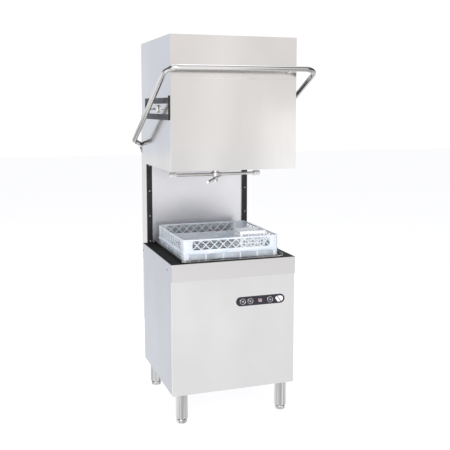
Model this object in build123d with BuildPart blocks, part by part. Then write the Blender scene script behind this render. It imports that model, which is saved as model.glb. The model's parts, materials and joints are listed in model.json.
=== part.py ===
from build123d import *
from math import asin, cos, degrees, hypot, radians, sin, tan
import os

os.makedirs("parts", exist_ok=True)

# Millimetres. X to the right, Y to the back, Z up. The origin is on the floor, under the middle of the machine.
# Left and right are as seen by someone standing in front.

# Overall sizes
body_width = 640.0
body_depth = 610.0
leg_height = 150.0
worktop_height = 806.0
hood_height = 640.0
hood_travel = 445.0
hood_seat_gap = 1.0  # the closed hood above the worktop

# Casing sheet
casing_sheet = 1.2
tray_sheet = 2.0
tray_flange = 30.0
panel_gap = 0.5
panel_return = 20.0

# Worktop and wash tank
tank_sheet = 1.5
apron_height = 86.0
apron_proud = 3.0
worktop_edge_radius = 1.2
tank_opening = 510.0
tank_depth = 216.0
tank_corner_radius = 30.0
sump_x = 120.0
sump_y = 120.0
sump_radius = 75.0
sump_depth = 70.0
suction_offset = 35.0  # the suction hole's and the drain hole's distance from the sump's middle
drain_offset = -30.0
filter_height = 110.0  # the filter above the tank floor
filter_gap = 2.0
filter_rim = 8.0
strainer_radius = 54.0
overflow_radius = 16.0
overflow_rise = 130.0  # the top of the overflow pipe above the tank floor
element_radius = 4.0
element_rise = 34.0
element_x = -140.0
element_span = 120.0

# Legs and feet
leg_radius = 30.0
leg_wall = 2.0
leg_flange = 4.0
leg_flange_radius = 32.0
leg_inset_side = 55.0
leg_inset_front = 40.0
leg_inset_rear = 33.0
foot_radius = 26.0
foot_height = 23.5
foot_gap = 0.5
foot_stud_radius = 8.0
foot_stud_length = 60.0
running_clearance = 0.05

# Control fascia
fascia_x = 137.0
fascia_drop = 210.0  # the fascia's middle below the worktop
fascia_length = 259.0
fascia_height = 46.0
fascia_thickness = 4.0
button_positions = {"power": -95.6, "cycle": -55.2, "start": 50.0}
button_radius = 12.0
button_gap = 0.3
button_proud = 1.5
button_travel = 1.5
button_stem_radius = 4.0
display_offset = -3.5
display_size = (22.0, 19.0)
lens_offset = 99.0
lens_size = (42.0, 30.0)
window_gap = 0.2
board_stand_off = 18.0
switch_height = 4.0

# Columns behind the hood
column_width = 58.0
column_side_gap = 27.0  # the column's outer face inside the hood's outer face
column_wall = 2.0
column_foot_drop = 60.0  # the column's foot below the riser's branch
column_top_rise = 176.0  # the column's top above the hinge axis
strip_width = 29.6
strip_side_gap = 24.4
strip_thickness = 12.0
strip_front_gap = 3.0  # the strip's front face behind the worktop's edge
chamber_top_margin = 5.0
beam_height = 30.0
beam_sheet = 3.0

# Hood
hood_sheet = 1.2
hood_seam_drop = 201.0  # the seam in the front below the top
hood_seam_gap = 0.5
hood_rear_flange = 24.0
hood_top_lip = 40.0
slider_clearance = 0.4
slider_height = 60.0
slider_rise = 20.0
slider_pitch = 140.0
slider_width = 8.0
slider_lip = 18.0
slider_hook = 8.0

# Handle frame, which hinges behind the columns
tube_radius = 12.5
tube_wall = 1.5
handle_side_gap = 50.0  # the side arm's centre line outside the hood
handle_stand_off = 132.0  # the front bar's centre line in front of the hood
handle_bend = 65.0
handle_rear_bend = 45.0
handle_hood_gap = 4.0  # between the bent end and the hood's rear corner, when the handle is level
handle_rear_slope = 1.21  # how far the bent end runs back for each millimetre inwards
pivot_setback = 60.0
pivot_rise = 82.0
axle_radius = 10.0
axle_hub_radius = 30.0
axle_hub_gap = 6.5
axle_hub_width = 12.0
bush_radius = 15.0
bush_flange_radius = 20.0

# Guide frames on the hood's sides, and the rollers that run in them
guide_rise = 295.0  # the slot's middle above the hood's lower edge
guide_slot = 50.0
guide_rail = 28.0
guide_thickness = 10.0
guide_rear_gap = 123.0
guide_front_gaps = {"left": 0.0, "right": 25.0}  # the right frame starts behind the hood's corner
guide_rear_strip = 10.0
guide_front_strip = 5.0
guide_front_tab = 9.0
roller_radius = 19.0
roller_width = 9.5
roller_gap = 1.5
roller_pin_radius = 5.0
roller_reach = 477.2  # from the hinge axis

# Counterbalance
spring_side_gap = 20.0
spring_y_offset = 55.0
spring_lever = 60.0
spring_lever_width = 24.0
spring_lever_thickness = 6.0
spring_roller_radius = 10.0
spring_roller_gap = 0.8
spring_roller_width = 30.0
shoe_size = 30.0
shoe_thickness = 6.0
spring_radius = 14.0
spring_wire = 3.0
rod_radius = 6.0
rod_hole_gap = 2.0

# Washing system
riser_radius = 16.0
riser_wall = 2.0
riser_bend = 30.0
spindle_radius = 6.0
spindle_head_radius = 14.0
lower_arm_drop = 50.0  # the lower wash arm's middle below the worktop
upper_arm_drop = 45.0  # the upper wash arm's middle below the open hood's lower edge
wash_arm_width = 30.0
wash_arm_height = 14.0
wash_arm_half = 231.0
arm_cap_length = 36.0
arm_cap_overlap = 18.0
arm_cap_radius = 13.5
wash_hub_radius = 24.0
wash_hub_height = 18.0
rinse_arm_radius = 6.0
rinse_arm_half = 222.0
rinse_hub_height = 12.0
rinse_gap = 1.5  # between the rinse arm and the wash arm's end caps
hub_gap = 4.0
lower_arm_heading = 40.0
lower_rinse_heading = -25.0
upper_rinse_heading = 62.0

# Pump, boiler and electrics in the base
pump_y = 120.0
pump_rise = 110.0
pump_radius = 80.0
pump_width = 50.0
pump_wall = 6.0
motor_radius = 62.0
motor_length = 188.0
shaft_radius = 7.0
shaft_length = 46.0
impeller_radius = 60.0
impeller_vanes = 6
outlet_offset = 55.0
suction_radius = 22.0
boiler_x = -225.0
boiler_y = -150.0
boiler_radius = 85.0
boiler_headroom = 120.0
box_headroom = 136.0
box_x = 210.0
box_size = (160.0, 100.0)
box_lid = 12.0
branch_rise = 138.0  # the riser's branch above the pump
riser_rear_offset = 80.0
upper_pipe_rise = 33.0
drain_rise = 65.0
drain_drop = 68.5
drain_radius = 16.0
drain_wall = 2.0
drain_run_y = 240.0
inlet_offset = -10.0
inlet_rise = 25.0
inlet_body = 44.0
inlet_radius = 13.2
inlet_length = 28.0
gland_x = 200.0
gland_bore = 7.5
gland_length = 27.0
service_gap = 0.5
service_collar = 3.0

# Dish rack, its guide on the worktop, and the cutlery basket
rack_size = 500.0
rack_height = 101.0
rack_lift = 6.0  # the rack's underside above the worktop
rack_y = -10.0
rack_wall = 3.0
rack_corner = 18.0
rack_floor = 5.0
rack_cells = 9
rack_cell_wall = 6.0
lattice_cells = 9
lattice_width = 405.0
lattice_height = 44.0
lattice_top = 8.0
lattice_bar = 4.0
guide_rail_gap = 12.0
guide_rail_lip = 12.0
guide_rail_sheet = 2.0
guide_rail_shelf = 24.0
guide_rail_clearance = 0.3
basket_width = 137.0
basket_depth = 105.0
basket_height = 121.0
basket_x = 117.0
basket_wall = 2.0
basket_front_gap = 9.0
basket_hole = 11.0
basket_pitch = 16.0

# Places that follow from the sizes above
side_x = body_width / 2
rear_y = body_depth / 2
front_y = -rear_y
apron_bottom = worktop_height - apron_height
panel_top = apron_bottom - panel_gap
tank_floor = worktop_height - tank_depth
sump_bottom = tank_floor - sump_depth
hood_bottom = worktop_height + hood_seat_gap + hood_travel
hood_top = hood_bottom + hood_height
rear_panel_y = rear_y - casing_sheet - panel_gap
column_front_y = rear_y + apron_proud + strip_front_gap + strip_thickness
rear_limit_y = rear_y + handle_stand_off + tube_radius
cover_y = rear_limit_y - casing_sheet
column_rear_y = cover_y - panel_gap
strip_front_y = column_front_y - strip_thickness
fascia_z = worktop_height - fascia_drop
fascia_front_y = front_y - fascia_thickness
pivot_y = rear_y + pivot_setback
pivot_z = hood_bottom + pivot_rise
slot_z = hood_bottom + guide_rise
open_angle = degrees(asin((slot_z - pivot_z) / roller_reach))
closed_angle = degrees(asin((slot_z - hood_travel - pivot_z) / roller_reach))
handle_swing = open_angle - closed_angle
bar_reach = (pivot_y - front_y + handle_stand_off) / cos(radians(open_angle))
rack_bottom = worktop_height + rack_lift
riser_y = rear_y + riser_rear_offset
outlet_y = pump_y - outlet_offset
tray_top = leg_height + tray_sheet
pump_z = tray_top + pump_rise
branch_z = pump_z + branch_rise
drain_z = leg_height + drain_rise
inlet_x = boiler_x + inlet_offset
inlet_z = leg_height + tray_flange + inlet_rise
boiler_height = tank_floor - tray_top - boiler_headroom
box_height = tank_floor - tray_top - box_headroom
upper_arm_z = hood_bottom - upper_arm_drop
upper_pipe_z = upper_arm_z + upper_pipe_rise
column_foot_z = branch_z - column_foot_drop
column_top_z = pivot_z + column_top_rise
column_outer_x = side_x - column_side_gap
column_inner_x = column_outer_x - column_width
strip_outer_x = side_x - strip_side_gap
slider_outer_x = strip_outer_x + slider_clearance + slider_width
handle_half_width = side_x + handle_side_gap
axle_hub_x = column_outer_x + axle_hub_gap
spring_x = column_inner_x - spring_side_gap
guide_rear_y = rear_y - guide_rear_gap
corners = {"front_left": (-1, -1), "front_right": (1, -1), "rear_left": (-1, 1), "rear_right": (1, 1)}
sides = {"left": -1, "right": 1}
BOTTOM = (Align.CENTER, Align.CENTER, Align.MIN)


def block(low, high, mode=Mode.ADD):
    """A box between two opposite corners, in the part being built."""
    middle = [(a + b) / 2 for a, b in zip(low, high)]
    size = [abs(b - a) for a, b in zip(low, high)]
    with Locations(tuple(middle)):
        Box(*size, mode=mode)


def rod(start, end, radius, mode=Mode.ADD):
    """A round bar from one point to another, in the part being built."""
    run = Vector(end) - Vector(start)
    with BuildSketch(Plane(origin=start, z_dir=run)) as section:
        Circle(radius)
    extrude(section.sketch, amount=run.length, mode=mode)


def pipe_run(points, bend, radius, mode=Mode.ADD):
    """A round bar along straight runs joined by bends, in the part being built."""
    with BuildLine() as route:
        FilletPolyline(*points, radius=bend)
    with BuildSketch(Plane(origin=route.line @ 0, z_dir=route.line % 0)) as section:
        Circle(radius)
    sweep(section.sketch, path=route.line, mode=mode)


def leg_place(name):
    """The middle of a leg on the floor."""
    across, along = corners[name]
    inset = leg_inset_front if along < 0 else leg_inset_rear
    return across * (side_x - leg_inset_side), along * (rear_y - inset)


# Legs: a polished tube with a mounting flange, and a threaded plug for the foot
for name in corners:
    x, y = leg_place(name)
    leg_bottom = foot_height + foot_gap
    with BuildPart() as leg:
        with Locations((x, y, leg_bottom)):
            Cylinder(leg_radius, leg_height - leg_bottom, align=BOTTOM)
        with Locations((x, y, leg_bottom + 8 * leg_wall / 2)):
            Cylinder(leg_radius - leg_wall, leg_height, align=BOTTOM, mode=Mode.SUBTRACT)
        with Locations((x, y, leg_height - leg_flange)):
            Cylinder(leg_flange_radius, leg_flange, align=BOTTOM)
        with Locations((x, y, leg_bottom)):
            Cylinder(foot_stud_radius, 8 * leg_wall / 2, align=BOTTOM, mode=Mode.SUBTRACT)
    leg.part.label = f"leg_{name}"
    export_step(leg.part, f"parts/leg_{name}.step")

# Feet: each one turns in its leg to level the machine
for name in corners:
    x, y = leg_place(name)
    with BuildPart() as foot:
        with BuildSketch(Plane.XZ.offset(-y)):
            with BuildLine():
                Polyline(
                    (x, 0),
                    (x + foot_radius - 2, 0),
                    (x + foot_radius, 2),
                    (x + foot_radius, foot_height - 8),
                    (x + foot_radius - 5, foot_height),
                    (x, foot_height),
                    close=True,
                )
            make_face()
        revolve(axis=Axis((x, y, 0), (0, 0, 1)))
        with Locations((x, y, foot_height)):
            Cylinder(foot_stud_radius - running_clearance, foot_stud_length, align=BOTTOM)
    foot.part.label = f"foot_{name}"
    export_step(foot.part, f"parts/foot_{name}.step")

# Chassis tray: the folded floor of the base
tray_half_x = side_x - casing_sheet - panel_gap
tray_front_y = front_y + casing_sheet + panel_gap
tray_rear_y = rear_panel_y - casing_sheet - panel_gap
with BuildPart() as chassis_tray:
    block((-tray_half_x, tray_front_y, leg_height), (tray_half_x, tray_rear_y, leg_height + tray_flange))
    block(
        (-tray_half_x + tray_sheet, tray_front_y + tray_sheet, tray_top),
        (tray_half_x - tray_sheet, tray_rear_y - tray_sheet, leg_height + tray_flange),
        mode=Mode.SUBTRACT,
    )
chassis_tray.part.label = "chassis_tray"
export_step(chassis_tray.part, "parts/chassis_tray.step")

# Front panel, folded back at both sides, with a slot behind the fascia for the buttons
slot_low_x = fascia_x + min(button_positions.values()) - button_radius
slot_high_x = fascia_x + max(button_positions.values()) + button_radius
with BuildPart() as front_panel:
    block((-side_x, front_y, leg_height), (side_x, front_y + panel_return, panel_top))
    block(
        (-side_x + casing_sheet, front_y + casing_sheet, leg_height),
        (side_x - casing_sheet, front_y + panel_return, panel_top),
        mode=Mode.SUBTRACT,
    )
    block(
        (slot_low_x, front_y, fascia_z - button_radius),
        (slot_high_x, front_y + casing_sheet, fascia_z + button_radius),
        mode=Mode.SUBTRACT,
    )
front_panel.part.label = "front_panel"
export_step(front_panel.part, "parts/front_panel.step")

# Side panels, folded in along the rear edge
for name, side in sides.items():
    outer = side * side_x
    inner = side * (side_x - casing_sheet)
    with BuildPart() as side_panel:
        block((inner, front_y + panel_return + panel_gap, leg_height), (outer, rear_y, panel_top))
        block((side * (side_x - panel_return), rear_y - casing_sheet, leg_height), (outer, rear_y, panel_top))
    side_panel.part.label = f"side_panel_{name}"
    export_step(side_panel.part, f"parts/side_panel_{name}.step")

# Rear panel, with the holes for the riser, the drain, the water inlet and the cable gland
with BuildPart() as rear_panel:
    block((-tray_half_x, rear_panel_y - casing_sheet, leg_height), (tray_half_x, rear_panel_y, panel_top))
    service_holes = (
        (0, branch_z, riser_radius + service_gap),
        (sump_x + drain_offset, drain_z, drain_radius + service_gap),
        (inlet_x, inlet_z, inlet_radius + service_gap),
        (gland_x, drain_z, gland_bore + 2.5 + service_gap),
    )
    for x, z, radius in service_holes:
        rod((x, rear_panel_y - 2 * casing_sheet, z), (x, rear_panel_y + casing_sheet, z), radius, Mode.SUBTRACT)
rear_panel.part.label = "rear_panel"
export_step(rear_panel.part, "parts/rear_panel.step")

# Worktop, apron, wash tank and sump, welded into one
apron_half_x = side_x + apron_proud
apron_half_y = rear_y + apron_proud
suction_x = sump_x + suction_offset
drain_x = sump_x + drain_offset
ledge_z = tank_floor + filter_height
with BuildPart() as wash_tank:
    block((-apron_half_x, -apron_half_y, apron_bottom), (apron_half_x, apron_half_y, worktop_height))
    fillet(wash_tank.edges().filter_by(Axis.Z), 2 * worktop_edge_radius)
    fillet(wash_tank.edges().group_by(Axis.Z)[-1], worktop_edge_radius)
    block(
        (-apron_half_x + tank_sheet, -apron_half_y + tank_sheet, apron_bottom + tank_sheet),
        (apron_half_x - tank_sheet, apron_half_y - tank_sheet, worktop_height - tank_sheet),
        mode=Mode.SUBTRACT,
    )
    block(
        (-side_x + panel_return, front_y + panel_return, apron_bottom),
        (side_x - panel_return, rear_y - panel_return, apron_bottom + tank_sheet),
        mode=Mode.SUBTRACT,
    )
    with BuildSketch(Plane.XY.offset(tank_floor - tank_sheet)):
        RectangleRounded(tank_opening + 2 * tank_sheet, tank_opening + 2 * tank_sheet, tank_corner_radius)
    extrude(amount=tank_depth)
    with Locations((sump_x, sump_y, sump_bottom - tank_sheet)):
        Cylinder(sump_radius + tank_sheet, sump_depth, align=BOTTOM)
    with BuildSketch(Plane.XY.offset(tank_floor)):
        RectangleRounded(tank_opening, tank_opening, tank_corner_radius)
    extrude(amount=tank_depth, mode=Mode.SUBTRACT)
    with Locations((sump_x, sump_y, sump_bottom)):
        Cylinder(sump_radius, sump_depth, align=BOTTOM, mode=Mode.SUBTRACT)
    # Ledges for the filter
    for side in (-1, 1):
        for along in (-1, 1):
            wall_y = along * tank_opening / 2
            block((side * 135, wall_y - along * 16, ledge_z - 3), (side * 165, wall_y, ledge_z))
    # Holes for the suction, the drain, the riser and the heating element
    for x, y, z, radius in (
        (suction_x, sump_y, sump_bottom, suction_radius - 2),
        (drain_x, sump_y, sump_bottom, drain_radius - drain_wall),
        (0, 0, tank_floor, riser_radius + service_gap),
    ):
        rod((x, y, z - 2 * tank_sheet), (x, y, z + tank_sheet), radius, Mode.SUBTRACT)
    for x in (element_x - element_span / 2, element_x + element_span / 2):
        z = tank_floor + element_rise
        rod(
            (x, -tank_opening / 2 - 2 * tank_sheet, z),
            (x, -tank_opening / 2 + tank_sheet, z),
            element_radius + service_gap,
            Mode.SUBTRACT,
        )
wash_tank.part.label = "wash_tank"
export_step(wash_tank.part, "parts/wash_tank.step")

# Tank filter: a tray with slots, which rests on the ledges
filter_half = tank_opening / 2 - filter_gap
with BuildPart() as tank_filter:
    with BuildSketch(Plane.XY.offset(ledge_z)):
        RectangleRounded(2 * filter_half, 2 * filter_half, tank_corner_radius)
    extrude(amount=filter_rim)
    with BuildSketch(Plane.XY.offset(ledge_z + tank_sheet)):
        RectangleRounded(
            2 * (filter_half - tank_sheet), 2 * (filter_half - tank_sheet), tank_corner_radius - tank_sheet
        )
    extrude(amount=filter_rim, mode=Mode.SUBTRACT)
    with BuildSketch(Plane.XY.offset(ledge_z)):
        Circle(riser_radius + 2)
        with Locations((sump_x, sump_y)):
            Circle(strainer_radius + 1)
        with GridLocations(60, 24, 2, 7):
            with Locations((-sump_x, 0)):
                SlotOverall(46, 6)
    extrude(amount=tank_sheet, mode=Mode.SUBTRACT)
tank_filter.part.label = "tank_filter"
export_step(tank_filter.part, "parts/tank_filter.step")

# Sump strainer: a slotted cup that hangs in the filter by its flange
strainer_top = ledge_z + tank_sheet
strainer_bottom = sump_bottom + 10
with BuildPart() as sump_strainer:
    with Locations((sump_x, sump_y, strainer_bottom)):
        Cylinder(strainer_radius, strainer_top + 3 - strainer_bottom, align=BOTTOM)
    with Locations((sump_x, sump_y, strainer_top)):
        Cylinder(strainer_radius + 7, 3, align=BOTTOM)
    with Locations((sump_x, sump_y, strainer_bottom + tank_sheet)):
        Cylinder(strainer_radius - tank_sheet, tank_depth, align=BOTTOM, mode=Mode.SUBTRACT)
    with Locations((drain_x, sump_y, strainer_bottom)):
        Cylinder(overflow_radius + 1.5, 2 * tank_sheet, align=BOTTOM, mode=Mode.SUBTRACT)
    for turn in range(6):
        with Locations(Location((sump_x, sump_y, (strainer_bottom + strainer_top) / 2), (0, 0, turn * 30))):
            Box(2.5 * strainer_radius, 6, 0.7 * (strainer_top - strainer_bottom), mode=Mode.SUBTRACT)
sump_strainer.part.label = "sump_strainer"
export_step(sump_strainer.part, "parts/sump_strainer.step")

# Overflow pipe, which stands over the drain hole
with BuildPart() as overflow_pipe:
    with Locations((drain_x, sump_y, sump_bottom)):
        Cylinder(overflow_radius, tank_floor + overflow_rise - sump_bottom, align=BOTTOM)
        Cylinder(overflow_radius - 2, tank_depth * 2, align=BOTTOM, mode=Mode.SUBTRACT)
overflow_pipe.part.label = "overflow_pipe"
export_step(overflow_pipe.part, "parts/overflow_pipe.step")

# Tank heating element: a bent tube on a flange outside the front wall
element_z = tank_floor + element_rise
element_left = element_x - element_span / 2
element_right = element_x + element_span / 2
flange_y = -tank_opening / 2 - tank_sheet
with BuildPart() as tank_element:
    pipe_run(
        (
            (element_right, flange_y - 3, element_z),
            (element_right, 200, element_z),
            (element_left, 200, element_z),
            (element_left, flange_y - 3, element_z),
        ),
        element_span / 3,
        element_radius,
    )
    block((element_left - 15, flange_y - 6, element_z - 18), (element_right + 15, flange_y, element_z + 18))
tank_element.part.label = "tank_element"
export_step(tank_element.part, "parts/tank_element.step")

# Control fascia, with a hole for each button and openings for the display and the status lens
with BuildPart() as control_fascia:
    with BuildSketch(Plane.XZ.offset(-front_y)):
        with Locations((fascia_x, fascia_z)):
            SlotOverall(fascia_length, fascia_height)
    extrude(amount=fascia_thickness)
    fillet(control_fascia.edges().group_by(Axis.Y)[0], fascia_thickness / 3)
    with BuildSketch(Plane.XZ.offset(-front_y)):
        for place in button_positions.values():
            with Locations((fascia_x + place, fascia_z)):
                Circle(button_radius + button_gap)
        with Locations((fascia_x + display_offset, fascia_z)):
            Rectangle(display_size[0] + 2 * window_gap, display_size[1] + 2 * window_gap)
        with Locations((fascia_x + lens_offset, fascia_z)):
            SlotOverall(lens_size[0] + 2 * window_gap, lens_size[1] + 2 * window_gap)
    extrude(amount=fascia_thickness, mode=Mode.SUBTRACT)
control_fascia.part.label = "control_fascia"
export_step(control_fascia.part, "parts/control_fascia.step")

# Buttons: a cap in the fascia, and a stem that reaches towards the switch on the board
board_y = front_y + casing_sheet + board_stand_off
stem_end_y = board_y - switch_height - button_travel - button_gap
for name, place in button_positions.items():
    x = fascia_x + place
    with BuildPart() as button:
        rod((x, fascia_front_y - button_proud, fascia_z), (x, front_y, fascia_z), button_radius)
        fillet(button.edges().group_by(Axis.Y)[0], 1)
        rod((x, front_y, fascia_z), (x, stem_end_y, fascia_z), button_stem_radius)
    button.part.label = f"{name}_button"
    export_step(button.part, f"parts/{name}_button.step")

# Display window, flush with the fascia
with BuildPart() as display_window:
    with BuildSketch(Plane.XZ.offset(-front_y)):
        with Locations((fascia_x + display_offset, fascia_z)):
            Rectangle(*display_size)
    extrude(amount=fascia_thickness)
display_window.part.label = "display_window"
export_step(display_window.part, "parts/display_window.step")

# Status lens, flush with the fascia
with BuildPart() as status_lens:
    with BuildSketch(Plane.XZ.offset(-front_y)):
        with Locations((fascia_x + lens_offset, fascia_z)):
            SlotOverall(*lens_size)
    extrude(amount=fascia_thickness)
status_lens.part.label = "status_lens"
export_step(status_lens.part, "parts/status_lens.step")

# Control board on four stand-offs, with a switch behind each button
board_half = fascia_length / 2 - 8
board_half_height = fascia_height / 2 - 2
with BuildPart() as control_board:
    block(
        (fascia_x - board_half, board_y, fascia_z - board_half_height),
        (fascia_x + board_half, board_y + 1.6, fascia_z + board_half_height),
    )
    for place in button_positions.values():
        x = fascia_x + place
        block((x - 6, board_y - switch_height, fascia_z - 6), (x + 6, board_y, fascia_z + 6))
    for across in (-1, 1):
        for along in (-1, 1):
            x = fascia_x + across * (board_half - 5)
            z = fascia_z + along * (board_half_height - 4)
            rod((x, front_y + casing_sheet, z), (x, board_y, z), 3)
control_board.part.label = "control_board"
export_step(control_board.part, "parts/control_board.step")

# Electrical box in the front right corner of the base
box_y = front_y + 25 + box_size[1] / 2
with BuildPart() as electrical_box:
    with Locations((box_x, box_y, tray_top)):
        Box(*box_size, box_height - box_lid, align=BOTTOM)
    fillet(electrical_box.edges().filter_by(Axis.Z), 4)
    with Locations((box_x, box_y, tray_top + box_height - box_lid)):
        Box(box_size[0] + box_lid, box_size[1] + box_lid / 2, box_lid, align=BOTTOM)
electrical_box.part.label = "electrical_box"
export_step(electrical_box.part, "parts/electrical_box.step")

# Wash pump motor on its foot, bored for the shaft
housing_left = -pump_width / 2
motor_front = housing_left - 2
with BuildPart() as pump_motor:
    rod((motor_front - motor_length, pump_y, pump_z), (motor_front, pump_y, pump_z), motor_radius)
    fillet(pump_motor.edges().group_by(Axis.X)[0], 8)
    block(
        (motor_front - 150, pump_y - 35, tray_top),
        (motor_front - 40, pump_y + 35, pump_z - motor_radius + 6),
    )
    rod(
        (motor_front - shaft_length - 2, pump_y, pump_z),
        (motor_front, pump_y, pump_z),
        shaft_radius + running_clearance,
        Mode.SUBTRACT,
    )
pump_motor.part.label = "pump_motor"
export_step(pump_motor.part, "parts/pump_motor.step")

# Pump housing: the round volute, its outlet and the suction bend up to the sump
suction_route = (
    (pump_width / 2 - pump_wall, pump_y, pump_z),
    (suction_x, pump_y, pump_z),
    (suction_x, pump_y, sump_bottom - tank_sheet),
)
with BuildPart() as pump_housing:
    rod((housing_left, pump_y, pump_z), (pump_width / 2, pump_y, pump_z), pump_radius)
    rod((0, outlet_y, pump_z), (0, outlet_y, pump_z + pump_radius + 10), riser_radius + 1)
    pipe_run(suction_route, 2 * suction_radius, suction_radius)
    rod(
        (housing_left + pump_wall, pump_y, pump_z),
        (pump_width / 2 - pump_wall, pump_y, pump_z),
        pump_radius - pump_wall,
        Mode.SUBTRACT,
    )
    rod((0, outlet_y, pump_z), (0, outlet_y, pump_z + pump_radius + 10), riser_radius - riser_wall, Mode.SUBTRACT)
    pipe_run(suction_route, 2 * suction_radius, suction_radius - 2, Mode.SUBTRACT)
    rod(
        (housing_left, pump_y, pump_z),
        (housing_left + pump_wall, pump_y, pump_z),
        shaft_radius + running_clearance,
        Mode.SUBTRACT,
    )
pump_housing.part.label = "pump_housing"
export_step(pump_housing.part, "parts/pump_housing.step")

# Impeller on its shaft
impeller_back = housing_left + pump_wall + 3
with BuildPart() as pump_impeller:
    rod((motor_front - shaft_length, pump_y, pump_z), (impeller_back + 18, pump_y, pump_z), shaft_radius)
    rod((impeller_back, pump_y, pump_z), (impeller_back + 4, pump_y, pump_z), impeller_radius)
    for turn in range(impeller_vanes):
        angle = turn * 360 / impeller_vanes
        with Locations(Location((impeller_back + 9, pump_y, pump_z), (angle, 0, 0))):
            with Locations((0, impeller_radius / 2, 0)):
                Box(14, impeller_radius - 4, 3)
pump_impeller.part.label = "pump_impeller"
export_step(pump_impeller.part, "parts/pump_impeller.step")

# Wash manifold: the lower riser, the branch up the back and the upper pipe, with a spindle for each pair of arms
lower_arm_z = worktop_height - lower_arm_drop
lower_route = (
    (0, outlet_y, pump_z + pump_radius + 10),
    (0, outlet_y, branch_z + 40),
    (0, 0, branch_z + 40),
    (0, 0, lower_arm_z - wash_hub_height / 2 - hub_gap),
)
upper_route = (
    (0, outlet_y, branch_z),
    (0, riser_y, branch_z),
    (0, riser_y, upper_pipe_z),
    (0, 0, upper_pipe_z),
    (0, 0, upper_arm_z + wash_hub_height / 2 + hub_gap),
)
upper_drop = upper_pipe_z - upper_arm_z - wash_hub_height / 2 - hub_gap
rinse_step = arm_cap_radius + rinse_gap + rinse_arm_radius
spindle_reach = rinse_step + rinse_hub_height / 2 + hub_gap
with BuildPart() as wash_manifold:
    pipe_run(lower_route, riser_bend, riser_radius)
    pipe_run(upper_route[:4], riser_bend, riser_radius)
    rod((0, 0, upper_pipe_z), (0, 0, upper_pipe_z - upper_drop), riser_radius)
    with Locations((0, 0, upper_pipe_z)):
        Sphere(riser_radius)
    pipe_run(lower_route, riser_bend, riser_radius - riser_wall, Mode.SUBTRACT)
    pipe_run(upper_route[:4], riser_bend, riser_radius - riser_wall, Mode.SUBTRACT)
    for end_z, way in ((lower_arm_z - wash_hub_height / 2, 1), (upper_arm_z + wash_hub_height / 2, -1)):
        seat_z = end_z - way * hub_gap
        head_z = end_z + way * (wash_hub_height / 2 + spindle_reach)
        rod((0, 0, seat_z - way * 3), (0, 0, seat_z + way * 2), riser_radius + 2)
        rod((0, 0, seat_z), (0, 0, head_z), spindle_radius)
        rod((0, 0, head_z), (0, 0, head_z + way * 8), spindle_head_radius)
wash_manifold.part.label = "wash_manifold"
export_step(wash_manifold.part, "parts/wash_manifold.step")

# Boiler standing on the tray, with its heater cap on top
with BuildPart() as boiler_tank:
    with Locations((boiler_x, boiler_y, tray_top)):
        Cylinder(boiler_radius, boiler_height, align=BOTTOM)
    fillet(boiler_tank.edges().group_by(Axis.Z)[-1], 18)
    with Locations((boiler_x, boiler_y, tray_top + boiler_height)):
        Cylinder(boiler_radius / 2, 14, align=BOTTOM)
        Cylinder(boiler_radius / 3, 40, align=BOTTOM)
boiler_tank.part.label = "boiler_tank"
export_step(boiler_tank.part, "parts/boiler_tank.step")


def arm_plane(heading, z):
    """A level plane whose X runs along an arm."""
    return Plane(origin=(0, 0, z), x_dir=(cos(radians(heading)), sin(radians(heading)), 0))


# Wash arms: a flat box arm on a round hub, with slots that spray towards the dishes
for name, z, heading in (("lower", lower_arm_z, lower_arm_heading), ("upper", upper_arm_z, 0)):
    with BuildPart() as wash_arm:
        with BuildSketch(arm_plane(heading, z - wash_arm_height / 2)):
            Rectangle(2 * wash_arm_half, wash_arm_width)
        extrude(amount=wash_arm_height)
        fillet(wash_arm.edges().group_by(SortBy.LENGTH)[-1], wash_arm_height / 3)
        with Locations((0, 0, z - wash_hub_height / 2)):
            Cylinder(wash_hub_radius, wash_hub_height, align=BOTTOM)
            Cylinder(
                spindle_radius + running_clearance, wash_hub_height, align=BOTTOM, mode=Mode.SUBTRACT
            )
        face_z = z + wash_arm_height / 2 if name == "lower" else z - wash_arm_height / 2
        with BuildSketch(arm_plane(heading, face_z)):
            for side in (-1, 1):
                for step in range(5):
                    with Locations((side * (55 + 38 * step), 0)):
                        SlotOverall(18, 3, rotation=90)
        extrude(amount=2, both=True, mode=Mode.SUBTRACT)
    wash_arm.part.label = f"{name}_wash_arm"
    export_step(wash_arm.part, f"parts/{name}_wash_arm.step")

# White end caps of the upper wash arm
with BuildPart() as upper_arm_caps:
    for side in (-1, 1):
        cap_in = side * (wash_arm_half - arm_cap_overlap)
        cap_out = side * (wash_arm_half + arm_cap_length - arm_cap_overlap)
        with BuildSketch(Plane.YZ.offset(cap_in)):
            with Locations((0, upper_arm_z)):
                RectangleRounded(wash_arm_width + 8, 2 * arm_cap_radius, arm_cap_radius - 1)
        extrude(amount=cap_out - cap_in)
    fillet(
        upper_arm_caps.edges().group_by(Axis.X)[0] + upper_arm_caps.edges().group_by(Axis.X)[-1],
        arm_cap_radius - 3,
    )
    block(
        (-wash_arm_half, -wash_arm_width / 2, upper_arm_z - wash_arm_height / 2),
        (wash_arm_half, wash_arm_width / 2, upper_arm_z + wash_arm_height / 2),
        mode=Mode.SUBTRACT,
    )
upper_arm_caps.part.label = "upper_arm_caps"
export_step(upper_arm_caps.part, "parts/upper_arm_caps.step")

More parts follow.
